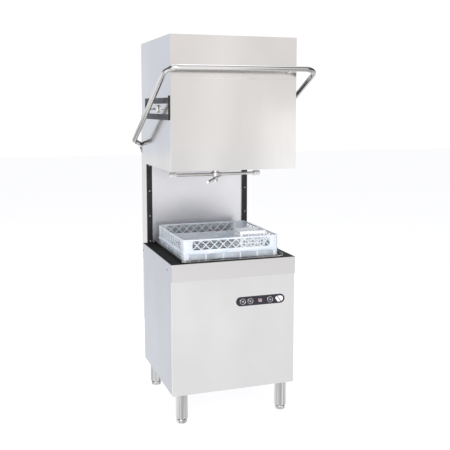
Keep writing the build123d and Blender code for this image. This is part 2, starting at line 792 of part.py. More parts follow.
# Rinse arms: a slim tube on a small hub, beyond the wash arm
for name, z, heading in (
    ("lower", lower_arm_z + rinse_step, lower_rinse_heading),
    ("upper", upper_arm_z - rinse_step, upper_rinse_heading),
):
    along = Vector(cos(radians(heading)), sin(radians(heading)), 0)
    with BuildPart() as rinse_arm:
        rod(
            Vector(0, 0, z) - along * rinse_arm_half,
            Vector(0, 0, z) + along * rinse_arm_half,
            rinse_arm_radius,
        )
        with Locations((0, 0, z - rinse_hub_height / 2)):
            Cylinder(spindle_head_radius, rinse_hub_height, align=BOTTOM)
            Cylinder(
                spindle_radius + running_clearance, rinse_hub_height, align=BOTTOM, mode=Mode.SUBTRACT
            )
    rinse_arm.part.label = f"{name}_rinse_arm"
    export_step(rinse_arm.part, f"parts/{name}_rinse_arm.step")

# Rack guide: two angle rails on cross bars, standing on the worktop
rail_top = rack_bottom - guide_rail_clearance
rail_outer = rack_size / 2 + guide_rail_gap + guide_rail_sheet
rail_half_y = tank_opening / 2 + 30
with BuildPart() as rack_guide:
    for side in (-1, 1):
        block(
            (side * (rail_outer - guide_rail_shelf), -rail_half_y, rail_top - guide_rail_sheet),
            (side * rail_outer, rail_half_y, rail_top),
        )
        block(
            (side * (rail_outer - guide_rail_sheet), -rail_half_y, rail_top - guide_rail_sheet),
            (side * rail_outer, rail_half_y, rail_top + guide_rail_lip),
        )
    for along in (-1, 1):
        block(
            (-rail_outer, along * (rail_half_y - 12), worktop_height),
            (rail_outer, along * rail_half_y, rail_top - guide_rail_sheet),
        )
rack_guide.part.label = "rack_guide"
export_step(rack_guide.part, "parts/rack_guide.step")

# Columns: box posts behind the body, with a pad on the rear panel and holes for the bushes
for name, side in sides.items():
    inner, outer = side * column_inner_x, side * column_outer_x
    with BuildPart() as column:
        block((inner, column_front_y, column_foot_z), (outer, column_rear_y, column_top_z))
        block((inner, rear_panel_y, column_foot_z), (outer, column_front_y, panel_top - 4))
        block(
            (inner + side * column_wall, column_front_y + column_wall, column_foot_z),
            (outer - side * column_wall, column_rear_y - column_wall, column_top_z),
            mode=Mode.SUBTRACT,
        )
        block(
            (inner + side * column_wall, rear_panel_y + column_wall, column_foot_z),
            (outer - side * column_wall, column_front_y, panel_top - 4),
            mode=Mode.SUBTRACT,
        )
        rod((inner, pivot_y, pivot_z), (outer, pivot_y, pivot_z), bush_radius + 0.1, Mode.SUBTRACT)
    column.part.label = f"column_{name}"
    export_step(column.part, f"parts/column_{name}.step")

# Black guide strips on the columns' front faces, which the hood slides along
for name, side in sides.items():
    with BuildPart() as guide_strip:
        block(
            (side * (strip_outer_x - strip_width), strip_front_y, worktop_height - 12),
            (side * strip_outer_x, column_front_y, column_top_z - 10),
        )
    guide_strip.part.label = f"guide_strip_{name}"
    export_step(guide_strip.part, f"parts/guide_strip_{name}.step")

# Rear wall of the wash chamber, between the strips, turned forward at its foot to meet the worktop
chamber_half_x = strip_outer_x - strip_width - panel_gap
chamber_front_y = column_front_y - tank_sheet - panel_gap
with BuildPart() as chamber_rear_panel:
    block(
        (-chamber_half_x, chamber_front_y, worktop_height - 2),
        (chamber_half_x, chamber_front_y + tank_sheet, column_top_z - chamber_top_margin),
    )
    block(
        (-chamber_half_x, apron_half_y + panel_gap, worktop_height - 2),
        (chamber_half_x, chamber_front_y, worktop_height - 2 + tank_sheet),
    )
    rod(
        (0, chamber_front_y - tank_sheet, upper_pipe_z),
        (0, column_front_y + tank_sheet, upper_pipe_z),
        riser_radius + service_gap,
        Mode.SUBTRACT,
    )
chamber_rear_panel.part.label = "chamber_rear_panel"
export_step(chamber_rear_panel.part, "parts/chamber_rear_panel.step")

# Cross beam between the columns: the springs bear up against its lower face
spring_y = pivot_y + spring_y_offset
beam_bottom = column_top_z - beam_height - 3
with BuildPart() as column_crossbeam:
    block((-column_inner_x, spring_y - 40, beam_bottom), (column_inner_x, spring_y + 24, beam_bottom + beam_height))
    block(
        (-column_inner_x, spring_y - 40 + beam_sheet, beam_bottom + beam_sheet),
        (column_inner_x, spring_y + 24 - beam_sheet, beam_bottom + beam_height),
        mode=Mode.SUBTRACT,
    )
    for side in (-1, 1):
        rod(
            (side * spring_x, spring_y, beam_bottom),
            (side * spring_x, spring_y, beam_bottom + beam_sheet),
            rod_radius + rod_hole_gap,
            Mode.SUBTRACT,
        )
column_crossbeam.part.label = "column_crossbeam"
export_step(column_crossbeam.part, "parts/column_crossbeam.step")

# Rear cover over the columns, turned forward at its top and bottom
with BuildPart() as rear_cover:
    block(
        (-column_outer_x, cover_y, column_foot_z - panel_gap - casing_sheet),
        (column_outer_x, rear_limit_y, column_top_z + panel_gap + casing_sheet),
    )
    for z in (column_foot_z - panel_gap - casing_sheet, column_top_z + panel_gap):
        block(
            (-column_outer_x, chamber_front_y + tank_sheet + panel_gap, z),
            (column_outer_x, rear_limit_y, z + casing_sheet),
        )
rear_cover.part.label = "rear_cover"
export_step(rear_cover.part, "parts/rear_cover.step")

# Bushes in the columns for the handle's axle
with BuildPart() as axle_bushes:
    for side in (-1, 1):
        inner, outer = side * (column_inner_x - 3), side * (axle_hub_x - 1)
        rod((inner, pivot_y, pivot_z), (outer, pivot_y, pivot_z), bush_radius)
        rod(
            (side * column_outer_x, pivot_y, pivot_z),
            (side * (column_outer_x + 3), pivot_y, pivot_z),
            bush_flange_radius,
        )
        rod((inner, pivot_y, pivot_z), (outer, pivot_y, pivot_z), axle_radius + running_clearance, Mode.SUBTRACT)
axle_bushes.part.label = "axle_bushes"
export_step(axle_bushes.part, "parts/axle_bushes.step")

# The handle lies in a sloping plane through the hinge axis; its Y runs forward along the arms
arm_slope = radians(open_angle)
handle_plane = Plane(
    origin=(0, pivot_y, pivot_z), x_dir=(1, 0, 0), z_dir=(0, -sin(arm_slope), -cos(arm_slope))
)
hub_face_x = axle_hub_x + axle_hub_width
rear_clearance = (tube_radius + handle_hood_gap) * hypot(1, handle_rear_slope)
handle_rear_corner = handle_side_gap * handle_rear_slope + pivot_setback - rear_clearance
end_reach = handle_rear_corner - handle_rear_slope * (handle_half_width - axle_hub_x)
roller_inner_x = side_x + roller_gap
roller_y = pivot_y - roller_reach * cos(arm_slope)

# Handle tube: front bar, two side arms, and ends bent in to the axle hubs, with a pin for each roller
with BuildPart() as handle_tube:
    with BuildLine(handle_plane) as handle_route:
        FilletPolyline(
            (-axle_hub_x, end_reach),
            (-handle_half_width, handle_rear_corner),
            (-handle_half_width, bar_reach),
            (handle_half_width, bar_reach),
            (handle_half_width, handle_rear_corner),
            (axle_hub_x, end_reach),
            radius=(handle_rear_bend, handle_bend, handle_bend, handle_rear_bend),
        )
    with BuildSketch(Plane(origin=handle_route.line @ 0, z_dir=handle_route.line % 0)):
        Circle(tube_radius)
        Circle(tube_radius - tube_wall, mode=Mode.SUBTRACT)
    sweep(path=handle_route.line)
    block(
        (-hub_face_x, pivot_y - 2 * handle_rear_corner / 3, pivot_z - 60),
        (hub_face_x, pivot_y + 60, pivot_z + handle_rear_corner),
        mode=Mode.SUBTRACT,
    )
    for side in (-1, 1):
        rod(
            (side * roller_inner_x, roller_y, slot_z),
            (side * (handle_half_width - tube_radius + tube_wall / 2), roller_y, slot_z),
            roller_pin_radius,
        )
handle_tube.part.label = "handle_tube"
export_step(handle_tube.part, "parts/handle_tube.step")

# Lever shaft: the axle, its end hubs, and two short levers whose rollers lift the spring rods
lever_angle = -handle_swing / 2
lever_y = pivot_y + spring_lever * cos(radians(lever_angle))
lever_z = pivot_z + spring_lever * sin(radians(lever_angle))
lever_x = spring_x - spring_roller_width / 2 - spring_lever_thickness - 1
with BuildPart() as lever_shaft:
    rod((-axle_hub_x, pivot_y, pivot_z), (axle_hub_x, pivot_y, pivot_z), axle_radius)
    for side in (-1, 1):
        rod((side * axle_hub_x, pivot_y, pivot_z), (side * hub_face_x, pivot_y, pivot_z), axle_hub_radius)
        with BuildSketch(Plane.YZ.offset(side * lever_x)):
            with Locations(((pivot_y + lever_y) / 2, (pivot_z + lever_z) / 2)):
                SlotCenterToCenter(spring_lever, spring_lever_width, rotation=lever_angle)
        extrude(amount=side * spring_lever_thickness)
        rod(
            (side * lever_x, lever_y, lever_z),
            (side * (spring_x + spring_roller_width / 2), lever_y, lever_z),
            spring_roller_radius,
        )
lever_shaft.part.label = "lever_shaft"
export_step(lever_shaft.part, "parts/lever_shaft.step")

# Rollers on the handle's pins, which run in the hood's guide frames
with BuildPart() as handle_rollers:
    for side in (-1, 1):
        inner, outer = side * roller_inner_x, side * (roller_inner_x + roller_width)
        rod((inner, roller_y, slot_z), (outer, roller_y, slot_z), roller_radius)
        rod(
            (inner, roller_y, slot_z),
            (outer, roller_y, slot_z),
            roller_pin_radius + running_clearance,
            Mode.SUBTRACT,
        )
handle_rollers.part.label = "handle_rollers"
export_step(handle_rollers.part, "parts/handle_rollers.step")

# Hood: open below and behind, with flanges that carry the sliders; its lower front is a panel of its own
seam_z = hood_top - hood_seam_drop
with BuildPart() as hood_shell:
    block((-side_x, front_y, hood_bottom), (side_x, rear_y, hood_top))
    block(
        (-side_x + hood_sheet, front_y + hood_sheet, hood_bottom),
        (side_x - hood_sheet, rear_y, hood_top - hood_sheet),
        mode=Mode.SUBTRACT,
    )
    block(
        (-side_x, front_y, hood_bottom),
        (side_x, front_y + hood_sheet + hood_seam_gap / 2, seam_z),
        mode=Mode.SUBTRACT,
    )
    for side in (-1, 1):
        block(
            (side * (side_x - hood_rear_flange), rear_y - hood_sheet, hood_bottom),
            (side * side_x, rear_y, hood_top),
        )
    block((-side_x, rear_y - hood_sheet, hood_top - hood_top_lip), (side_x, rear_y, hood_top))
hood_shell.part.label = "hood_shell"
export_step(hood_shell.part, "parts/hood_shell.step")

with BuildPart() as hood_front_panel:
    block((-side_x, front_y, hood_bottom), (side_x, front_y + hood_sheet, seam_z - hood_seam_gap))
hood_front_panel.part.label = "hood_front_panel"
export_step(hood_front_panel.part, "parts/hood_front_panel.step")

# Guide frames: two black rails on each side of the hood, joined at their ends
rail_low_z = slot_z - guide_slot / 2 - guide_rail
rail_high_z = slot_z + guide_slot / 2 + guide_rail
for name, side in sides.items():
    outer = side * (side_x + guide_thickness)
    guide_front_y = front_y + guide_front_gaps[name]
    with BuildPart() as handle_guide:
        block((side * side_x, guide_front_y, rail_low_z), (outer, guide_rear_y, rail_high_z))
        block(
            (side * side_x, guide_front_y, rail_low_z),
            (outer, guide_front_y + guide_front_strip, rail_high_z + guide_front_tab),
        )
        block(
            (side * side_x, guide_front_y + guide_front_strip, slot_z - guide_slot / 2),
            (outer, guide_rear_y - guide_rear_strip, slot_z + guide_slot / 2),
            mode=Mode.SUBTRACT,
        )
    handle_guide.part.label = f"handle_guide_{name}"
    export_step(handle_guide.part, f"parts/handle_guide_{name}.step")

# Sliders: plastic blocks on the hood's rear flanges, hooked round the strips' outer front corners
with BuildPart() as hood_sliders:
    for side in (-1, 1):
        for step in (0, 1):
            low = hood_bottom + slider_rise + step * slider_pitch
            block(
                (side * (strip_outer_x + slider_clearance), rear_y, low),
                (side * slider_outer_x, strip_front_y + slider_hook, low + slider_height),
            )
            block(
                (side * (strip_outer_x - slider_lip), rear_y, low),
                (side * slider_outer_x, strip_front_y - slider_clearance, low + slider_height),
            )
hood_sliders.part.label = "hood_sliders"
export_step(hood_sliders.part, "parts/hood_sliders.step")

# Spring rods: a shoe above each lever roller, and a rod up the middle of the spring
shoe_bottom = lever_z + spring_roller_radius + spring_roller_gap
shoe_top = shoe_bottom + shoe_thickness
with BuildPart() as spring_rods:
    for side in (-1, 1):
        with Locations((side * spring_x, spring_y, shoe_bottom)):
            Box(shoe_size, shoe_size, shoe_thickness, align=BOTTOM)
        rod((side * spring_x, spring_y, shoe_top), (side * spring_x, spring_y, beam_bottom - 30), rod_radius)
spring_rods.part.label = "spring_rods"
export_step(spring_rods.part, "parts/spring_rods.step")

# Counter springs, as plain sleeves of the spring's outer and inner size
with BuildPart() as counter_springs:
    for side in (-1, 1):
        low, high = (side * spring_x, spring_y, shoe_top), (side * spring_x, spring_y, beam_bottom)
        rod(low, high, spring_radius)
        rod(low, high, spring_radius - spring_wire, Mode.SUBTRACT)
counter_springs.part.label = "counter_springs"
export_step(counter_springs.part, "parts/counter_springs.step")

# Dish rack: thin walls with a lattice window in each, on a floor of square cells
cell = (rack_size - 2 * rack_wall) / rack_cells
lattice_low = rack_bottom + rack_height - lattice_top - lattice_height
lattice_cell = lattice_width / lattice_cells
lattice_angle = degrees(asin(lattice_height / hypot(lattice_cell, lattice_height)))
with BuildPart() as rack:
    with BuildSketch(Plane.XY.offset(rack_bottom)):
        with Locations((0, rack_y)):
            RectangleRounded(rack_size, rack_size, rack_corner)
    extrude(amount=rack_height)
    with BuildSketch(Plane.XY.offset(rack_bottom + rack_floor)):
        with Locations((0, rack_y)):
            RectangleRounded(rack_size - 2 * rack_wall, rack_size - 2 * rack_wall, rack_corner - rack_wall)
    extrude(amount=rack_height, mode=Mode.SUBTRACT)
    with BuildSketch(Plane.XY.offset(rack_bottom)):
        with Locations((0, rack_y)):
            with GridLocations(cell, cell, rack_cells, rack_cells):
                RectangleRounded(cell - rack_cell_wall, cell - rack_cell_wall, 4)
    extrude(amount=rack_floor, mode=Mode.SUBTRACT)
    for across in (Plane.XZ.offset(-rack_y), Plane.YZ):
        middle = 0 if across.z_dir.Y else rack_y
        with BuildSketch(across):
            with Locations((middle, lattice_low + lattice_height / 2)):
                Rectangle(lattice_width, lattice_height)
                with GridLocations(lattice_cell, 1, lattice_cells, 1):
                    for turn in (lattice_angle, -lattice_angle):
                        Rectangle(
                            hypot(lattice_cell, lattice_height), lattice_bar, rotation=turn, mode=Mode.SUBTRACT
                        )
        extrude(amount=rack_size, both=True, mode=Mode.SUBTRACT)
rack.part.label = "rack"
export_step(rack.part, "parts/rack.step")

# Cutlery basket near the front right of the rack, with square holes in its walls
basket_y = rack_y - rack_size / 2 + rack_wall + basket_front_gap + basket_depth / 2
basket_bottom = rack_bottom + rack_floor + guide_rail_clearance
with BuildPart() as cutlery_basket:
    with BuildSketch(Plane.XY.offset(basket_bottom)):
        with Locations((basket_x, basket_y)):
            RectangleRounded(basket_width, basket_depth, 6)
    extrude(amount=basket_height)
    with BuildSketch(Plane.XY.offset(basket_bottom + basket_wall)):
        with Locations((basket_x, basket_y)):
            RectangleRounded(basket_width - 2 * basket_wall, basket_depth - 2 * basket_wall, 4)
    extrude(amount=basket_height, mode=Mode.SUBTRACT)
    rows = int((basket_height - basket_pitch) / basket_pitch)
    for across, place, width in (
        (Plane.XZ.offset(-basket_y), basket_x, basket_width),
        (Plane.YZ.offset(basket_x), basket_y, basket_depth),
    ):
        with BuildSketch(across):
            with Locations((place, basket_bottom + basket_height / 2)):
                with GridLocations(basket_pitch, basket_pitch, int((width - 12) / basket_pitch), rows):
                    Rectangle(basket_hole, basket_hole)
        extrude(amount=width, both=True, mode=Mode.SUBTRACT)
cutlery_basket.part.label = "cutlery_basket"
export_step(cutlery_basket.part, "parts/cutlery_basket.step")

# Water inlet: a valve inside the rear panel, its threaded tail outside, and the pipe to the boiler
boiler_face_y = boiler_y + boiler_radius
with BuildPart() as water_inlet:
    block(
        (inlet_x - inlet_body / 2, rear_panel_y - casing_sheet - inlet_body, inlet_z - inlet_body / 2),
        (inlet_x + inlet_body / 2, rear_panel_y - casing_sheet, inlet_z + inlet_body / 2),
    )
    rod(
        (inlet_x, rear_panel_y - casing_sheet, inlet_z),
        (inlet_x, rear_panel_y - casing_sheet + inlet_length, inlet_z),
        inlet_radius,
    )
    rod(
        (inlet_x, rear_panel_y, inlet_z),
        (inlet_x, rear_panel_y + service_collar, inlet_z),
        inlet_radius + service_collar,
    )
    rod((inlet_x, boiler_face_y + panel_gap, inlet_z), (inlet_x, rear_panel_y - 40, inlet_z), 6)
water_inlet.part.label = "water_inlet"
export_step(water_inlet.part, "parts/water_inlet.step")

# Drain outlet: a pipe from the sump, out through the rear panel
drain_route = (
    (drain_x, sump_y, sump_bottom - tank_sheet),
    (drain_x, sump_y, sump_bottom - tank_sheet - drain_drop),
    (drain_x, drain_run_y, sump_bottom - tank_sheet - drain_drop),
    (drain_x, drain_run_y, drain_z),
    (drain_x, rear_y + 30, drain_z),
)
with BuildPart() as drain_outlet:
    pipe_run(drain_route, 2 * drain_radius, drain_radius)
    rod(
        (drain_x, rear_panel_y, drain_z),
        (drain_x, rear_panel_y + service_collar, drain_z),
        drain_radius + service_collar,
    )
    pipe_run(drain_route, 2 * drain_radius, drain_radius - drain_wall, Mode.SUBTRACT)
drain_outlet.part.label = "drain_outlet"
export_step(drain_outlet.part, "parts/drain_outlet.step")

# Cable gland in the rear panel: nut inside, hexagon and dome outside, bored for the supply cord
gland_thread = gland_bore + 2.5
with BuildPart() as cable_gland:
    with BuildSketch(Plane.XZ.offset(-(rear_panel_y))):
        with Locations((gland_x, drain_z)):
            RegularPolygon(gland_bore + 7, 6)
    extrude(amount=-7)
    with BuildSketch(Plane.XZ.offset(-(rear_panel_y - casing_sheet))):
        with Locations((gland_x, drain_z)):
            RegularPolygon(gland_bore + 7, 6)
    extrude(amount=6)
    rod((gland_x, rear_panel_y - 10, drain_z), (gland_x, rear_panel_y, drain_z), gland_thread)
    rod((gland_x, rear_panel_y, drain_z), (gland_x, rear_panel_y + gland_length, drain_z), gland_bore + 4.5)
    fillet(cable_gland.edges().group_by(Axis.Y)[-1], 3)
    rod(
        (gland_x, rear_panel_y - 10, drain_z),
        (gland_x, rear_panel_y + gland_length, drain_z),
        gland_bore,
        Mode.SUBTRACT,
    )
cable_gland.part.label = "cable_gland"
export_step(cable_gland.part, "parts/cable_gland.step")

print("pivot", round(pivot_y, 2), round(pivot_z, 2), "open", round(open_angle, 3), "swing", round(handle_swing, 3))
print("roller", round(roller_y, 2), round(slot_z, 2), "lever rise", round(2 * spring_lever * sin(radians(handle_swing / 2)), 3))
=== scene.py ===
import json
from math import cos, pi, radians, sin
import bmesh
import bpy
from mathutils import Matrix, Vector


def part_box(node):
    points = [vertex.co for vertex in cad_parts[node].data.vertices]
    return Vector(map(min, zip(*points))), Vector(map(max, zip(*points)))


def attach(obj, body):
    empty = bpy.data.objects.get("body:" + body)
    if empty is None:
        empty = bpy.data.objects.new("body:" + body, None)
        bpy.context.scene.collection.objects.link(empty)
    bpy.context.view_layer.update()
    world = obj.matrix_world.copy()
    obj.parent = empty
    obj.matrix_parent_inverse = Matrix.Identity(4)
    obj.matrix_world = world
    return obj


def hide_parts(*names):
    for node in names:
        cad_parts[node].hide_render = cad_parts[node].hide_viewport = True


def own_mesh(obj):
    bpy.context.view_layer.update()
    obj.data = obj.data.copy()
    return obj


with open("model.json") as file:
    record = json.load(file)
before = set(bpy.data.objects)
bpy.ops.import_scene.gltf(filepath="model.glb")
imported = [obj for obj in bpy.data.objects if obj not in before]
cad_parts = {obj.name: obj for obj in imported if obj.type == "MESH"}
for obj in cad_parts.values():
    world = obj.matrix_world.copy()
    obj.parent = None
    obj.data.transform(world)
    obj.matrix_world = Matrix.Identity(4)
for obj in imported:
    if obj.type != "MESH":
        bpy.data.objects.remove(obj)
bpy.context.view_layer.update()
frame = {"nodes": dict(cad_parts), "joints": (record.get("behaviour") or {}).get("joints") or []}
print("frame loaded:", len(frame["nodes"]), "nodes")

# Everything below is in metres, in the machine's own frame: X right, Y back, Z up.
mm = 0.001
upright = Vector((0, 0, 1))
sideNames = {"left": -1, "right": 1}
cornerNames = ("front_left", "front_right", "rear_left", "rear_right")


def linearColour(hexText):
    parts = [int(hexText[i:i + 2], 16) / 255 for i in (1, 3, 5)]
    return [c / 12.92 if c <= 0.04045 else ((c + 0.055) / 1.055) ** 2.4 for c in parts] + [1.0]


def addNode(tree, kind, inputs=None, **settings):
    node = tree.nodes.new("ShaderNode" + kind)
    for name, value in settings.items():
        setattr(node, name, value)
    for key, value in (inputs or {}).items():
        if isinstance(value, bpy.types.NodeSocket):
            tree.links.new(value, node.inputs[key])
        else:
            node.inputs[key].default_value = value
    return node


def startMaterial(name, sockets):
    # a Principled shader with the constants that are the same all over the surface
    material = bpy.data.materials.new(name)
    material.use_nodes = True
    tree = material.node_tree
    shader = tree.nodes["Principled BSDF"]
    for key, value in sockets.items():
        shader.inputs[key].default_value = value
    return material, tree, shader


def grainOf(tree, size, detail=3.0):
    # noise whose spots are size millimetres along X, Y and Z of the machine
    place = addNode(tree, "TexCoord").outputs["Object"]
    scaled = addNode(tree, "Mapping", {"Vector": place, "Scale": [1 / (s * mm) for s in size]})
    return addNode(tree, "TexNoise", {"Vector": scaled.outputs[0], "Scale": 1.0, "Detail": detail}).outputs[0]


def blendColours(tree, share, first, second):
    mix = addNode(tree, "Mix", {0: share, 6: first, 7: second}, data_type="RGBA")
    return mix.outputs[2]


def spread(tree, value, low, high, fromLow=0.3, fromHigh=0.7):
    inputs = {0: value, 1: fromLow, 2: fromHigh, 3: low, 4: high}
    return addNode(tree, "MapRange", inputs).outputs[0]


def makeFinish(name, look):
    # colour and its mottling, gloss and its unevenness, and relief, from the sizes in look
    sockets = {"Metallic": look["metallic"], **look.get("sockets", {})}
    material, tree, shader = startMaterial(name, sockets)
    fine = grainOf(tree, look["grain"])
    coarse = grainOf(tree, look["mottle"], 2.0)
    shades = [linearColour(look["colour"]), linearColour(look["second"])]
    colour = blendColours(tree, spread(tree, coarse, 0.0, 1.0), *shades)
    tree.links.new(colour, shader.inputs["Base Color"])
    even, uneven = look["roughness"], look["unevenness"]
    gloss = spread(tree, fine, even - uneven, even + uneven)
    tree.links.new(gloss, shader.inputs["Roughness"])
    bump = addNode(tree, "Bump", {"Height": fine, "Distance": look["relief"] * mm, "Strength": 1.0})
    tree.links.new(bump.outputs[0], shader.inputs["Normal"])
    return material


# Materials. Sizes are in millimetres: grain is the fine pattern along X, Y and Z, mottle the slow one.
finishes = {}

# 1.4301 stainless, linished up the sheet: fine upright lines, a soft mirror of what stands close to it
finishes["steelSheet"] = makeFinish("stainless_linished_upright", {
    "colour": "#D9D8D7", "second": "#D2D1D0", "metallic": 1.0, "roughness": 0.14, "unevenness": 0.03,
    "grain": (2.2, 2.2, 160), "mottle": (260, 260, 420), "relief": 0.01})

# side panels: the same sheet, painted darker and cooler as painted shade on the machine's side faces
finishes["steelSidePaintedShade"] = makeFinish("stainless_linished_side_painted_shade", {
    "colour": "#ADB0B9", "second": "#A6A9B3", "metallic": 1.0, "roughness": 0.12, "unevenness": 0.03,
    "grain": (2.2, 2.2, 160), "mottle": (260, 260, 420), "relief": 0.01})

# mill-finish 2B stainless inside and behind: greyer, smoother and cloudier than the linished faces
finishes["steelMill"] = makeFinish("stainless_2b_mill", {
    "colour": "#DFDFE2", "second": "#D8D9DC", "metallic": 1.0, "roughness": 0.32, "unevenness": 0.02,
    "grain": (5, 5, 5), "mottle": (140, 140, 140), "relief": 0.008})

# polished round tube of the legs: soft light and dark streaks are painted lengthways down it as a painted
# reflection of the surroundings
finishes["steelLegPaintedStreaks"] = makeFinish("stainless_leg_painted_reflection_streaks", {
    "colour": "#E4E3E2", "second": "#8D8E90", "metallic": 1.0, "roughness": 0.16, "unevenness": 0.03,
    "grain": (1.5, 1.5, 90), "mottle": (15, 15, 900), "relief": 0.01})

# polished rod and small turned parts: near mirror, faintly uneven from the buffing wheel
finishes["steelPolished"] = makeFinish("stainless_tube_polished", {
    "colour": "#C6C4C2", "second": "#BBBAB9", "metallic": 1.0, "roughness": 0.1, "unevenness": 0.025,
    "grain": (3, 3, 3), "mottle": (60, 60, 60), "relief": 0.006})

# satin stainless of the spray arms and pipes: even, soft, slightly warm from heat
finishes["steelSatin"] = makeFinish("stainless_satin_pressed", {
    "colour": "#D2D1CF", "second": "#C6C5C3", "metallic": 1.0, "roughness": 0.34, "unevenness": 0.05,
    "grain": (1.6, 1.6, 1.6), "mottle": (45, 45, 45), "relief": 0.01})

# zinc-plated turned steel: bluish, with fine lathe lines
finishes["zincSteel"] = makeFinish("steel_zinc_plated", {
    "colour": "#A9AEB4", "second": "#9399A2", "metallic": 1.0, "roughness": 0.34, "unevenness": 0.07,
    "grain": (1.2, 14, 14), "mottle": (20, 20, 20), "relief": 0.02})

# oil-tempered spring wire: dark, drawn along its length, with a thin film of grease
finishes["springWire"] = makeFinish("spring_wire_tempered", {
    "colour": "#6E7076", "second": "#54565C", "metallic": 1.0, "roughness": 0.3, "unevenness": 0.08,
    "grain": (2, 2, 2), "mottle": (9, 9, 9), "relief": 0.02, "sockets": {"Coat Weight": 0.3}})

# machined black HDPE: matt, faintly waxy, with the cutter's fine tracks along it
finishes["blackGuide"] = makeFinish("hdpe_black_machined", {
    "colour": "#17171C", "second": "#232229", "metallic": 0.0, "roughness": 0.42, "unevenness": 0.08,
    "grain": (1.8, 60, 60), "mottle": (35, 35, 35), "relief": 0.05, "sockets": {"Specular IOR Level": 0.35}})

# white acetal: dense, slightly glossy, scuffed where it slides
finishes["whiteAcetal"] = makeFinish("acetal_white_turned", {
    "colour": "#F4F3F0", "second": "#E9E8E4", "metallic": 0.0, "roughness": 0.33, "unevenness": 0.06,
    "grain": (1.5, 1.5, 1.5), "mottle": (16, 16, 16), "relief": 0.02,
    "sockets": {"Subsurface Weight": 0.15, "Subsurface Scale": 0.002}})

# moulded polypropylene of the rack: cool blue-white, a little translucent, fine spark-eroded skin
finishes["rackPlastic"] = makeFinish("polypropylene_rack_moulded", {
    "colour": "#E6EDF5", "second": "#D5DFEA", "metallic": 0.0, "roughness": 0.38, "unevenness": 0.06,
    "grain": (1.4, 1.4, 1.4), "mottle": (70, 70, 40), "relief": 0.04,
    "sockets": {"Subsurface Weight": 0.1, "Subsurface Scale": 0.002}})

# the rack's foot skirt: the same polypropylene, thicker, painted darker grey as painted shade at the rack's
# foot, with some plates darker than others at random
finishes["skirtPlasticPaintedShade"] = makeFinish("polypropylene_skirt_painted_shade", {
    "colour": "#C6CFD8", "second": "#8F99A3", "metallic": 0.0, "roughness": 0.3, "unevenness": 0.08,
    "grain": (12, 12, 2), "mottle": (95, 95, 400), "relief": 0.08})

# the cutlery basket's polypropylene: whiter and less blue than the rack
finishes["basketPlastic"] = makeFinish("polypropylene_basket_moulded", {
    "colour": "#EEF1F5", "second": "#E2E6EC", "metallic": 0.0, "roughness": 0.42, "unevenness": 0.06,
    "grain": (1.4, 1.4, 1.4), "mottle": (30, 30, 30), "relief": 0.04})

# moulded ABS fascia: aubergine black, satin, with a leather-fine spark texture
finishes["fasciaPlastic"] = makeFinish("abs_fascia_satin", {
    "colour": "#221E2A", "second": "#2B2734", "metallic": 0.0, "roughness": 0.36, "unevenness": 0.05,
    "grain": (0.9, 0.9, 0.9), "mottle": (24, 24, 24), "relief": 0.03,
    "sockets": {"Specular IOR Level": 0.35}})

# button caps: the same ABS, a shade lighter and polished by fingers in the middle
finishes["buttonPlastic"] = makeFinish("abs_button_worn", {
    "colour": "#3A3642", "second": "#4A4652", "metallic": 0.0, "roughness": 0.27, "unevenness": 0.06,
    "grain": (1.1, 1.1, 1.1), "mottle": (8, 8, 8), "relief": 0.02})

# bright nickel of the rings round the buttons: a narrow mirror line
finishes["nickelRing"] = makeFinish("nickel_plate_bright", {
    "colour": "#E4E1D8", "second": "#D6D2C8", "metallic": 1.0, "roughness": 0.14, "unevenness": 0.03,
    "grain": (1, 1, 1), "mottle": (6, 6, 6), "relief": 0.004})

# printed white ink of the button signs
finishes["whiteInk"] = makeFinish("screen_ink_white", {
    "colour": "#F2F1F4", "second": "#E2E0E6", "metallic": 0.0, "roughness": 0.5, "unevenness": 0.05,
    "grain": (0.4, 0.4, 0.4), "mottle": (3, 3, 3), "relief": 0.01})

# smoked red acrylic over the display: deep and glossy
finishes["smokedAcrylic"] = makeFinish("acrylic_smoked_red", {
    "colour": "#5C4E5A", "second": "#52454F", "metallic": 0.0, "roughness": 0.09, "unevenness": 0.02,
    "grain": (2, 2, 2), "mottle": (12, 12, 12), "relief": 0.002, "sockets": {"Coat Weight": 0.5}})

# lit display segments: pale red light behind the window
finishes["litSegments"] = makeFinish("led_segments_pale_red", {
    "colour": "#E9CDD3", "second": "#E0C2CA", "metallic": 0.0, "roughness": 0.4, "unevenness": 0.02,
    "grain": (0.5, 0.5, 0.5), "mottle": (3, 3, 3), "relief": 0.005,
    "sockets": {"Emission Color": linearColour("#F0B4BE"), "Emission Strength": 0.22}})

# solder resist on glass-fibre board: dark green, glossy, with the weave just showing through
finishes["circuitBoard"] = makeFinish("fr4_solder_resist", {
    "colour": "#1E5A38", "second": "#184A2E", "metallic": 0.0, "roughness": 0.28, "unevenness": 0.05,
    "grain": (1.2, 1.2, 1.2), "mottle": (10, 10, 10), "relief": 0.03})

# black moulded epoxy of chips, relays and switches
finishes["blackEpoxy"] = makeFinish("epoxy_black_moulded", {
    "colour": "#1C1C1E", "second": "#27272A", "metallic": 0.0, "roughness": 0.5, "unevenness": 0.06,
    "grain": (0.6, 0.6, 0.6), "mottle": (6, 6, 6), "relief": 0.02})

# light grey ABS of the electrical enclosure: matt, orange-peel skin
finishes["enclosureGrey"] = makeFinish("abs_enclosure_grey", {
    "colour": "#B9BCBD", "second": "#AFB2B4", "metallic": 0.0, "roughness": 0.5, "unevenness": 0.06,
    "grain": (2.5, 2.5, 2.5), "mottle": (40, 40, 40), "relief": 0.06})

# pressure-cast aluminium under grey motor enamel: pebbled, half gloss
finishes["castMotor"] = makeFinish("aluminium_cast_enamelled", {
    "colour": "#6F757C", "second": "#62686F", "metallic": 0.25, "roughness": 0.42, "unevenness": 0.08,
    "grain": (3, 3, 3), "mottle": (30, 30, 30), "relief": 0.12})

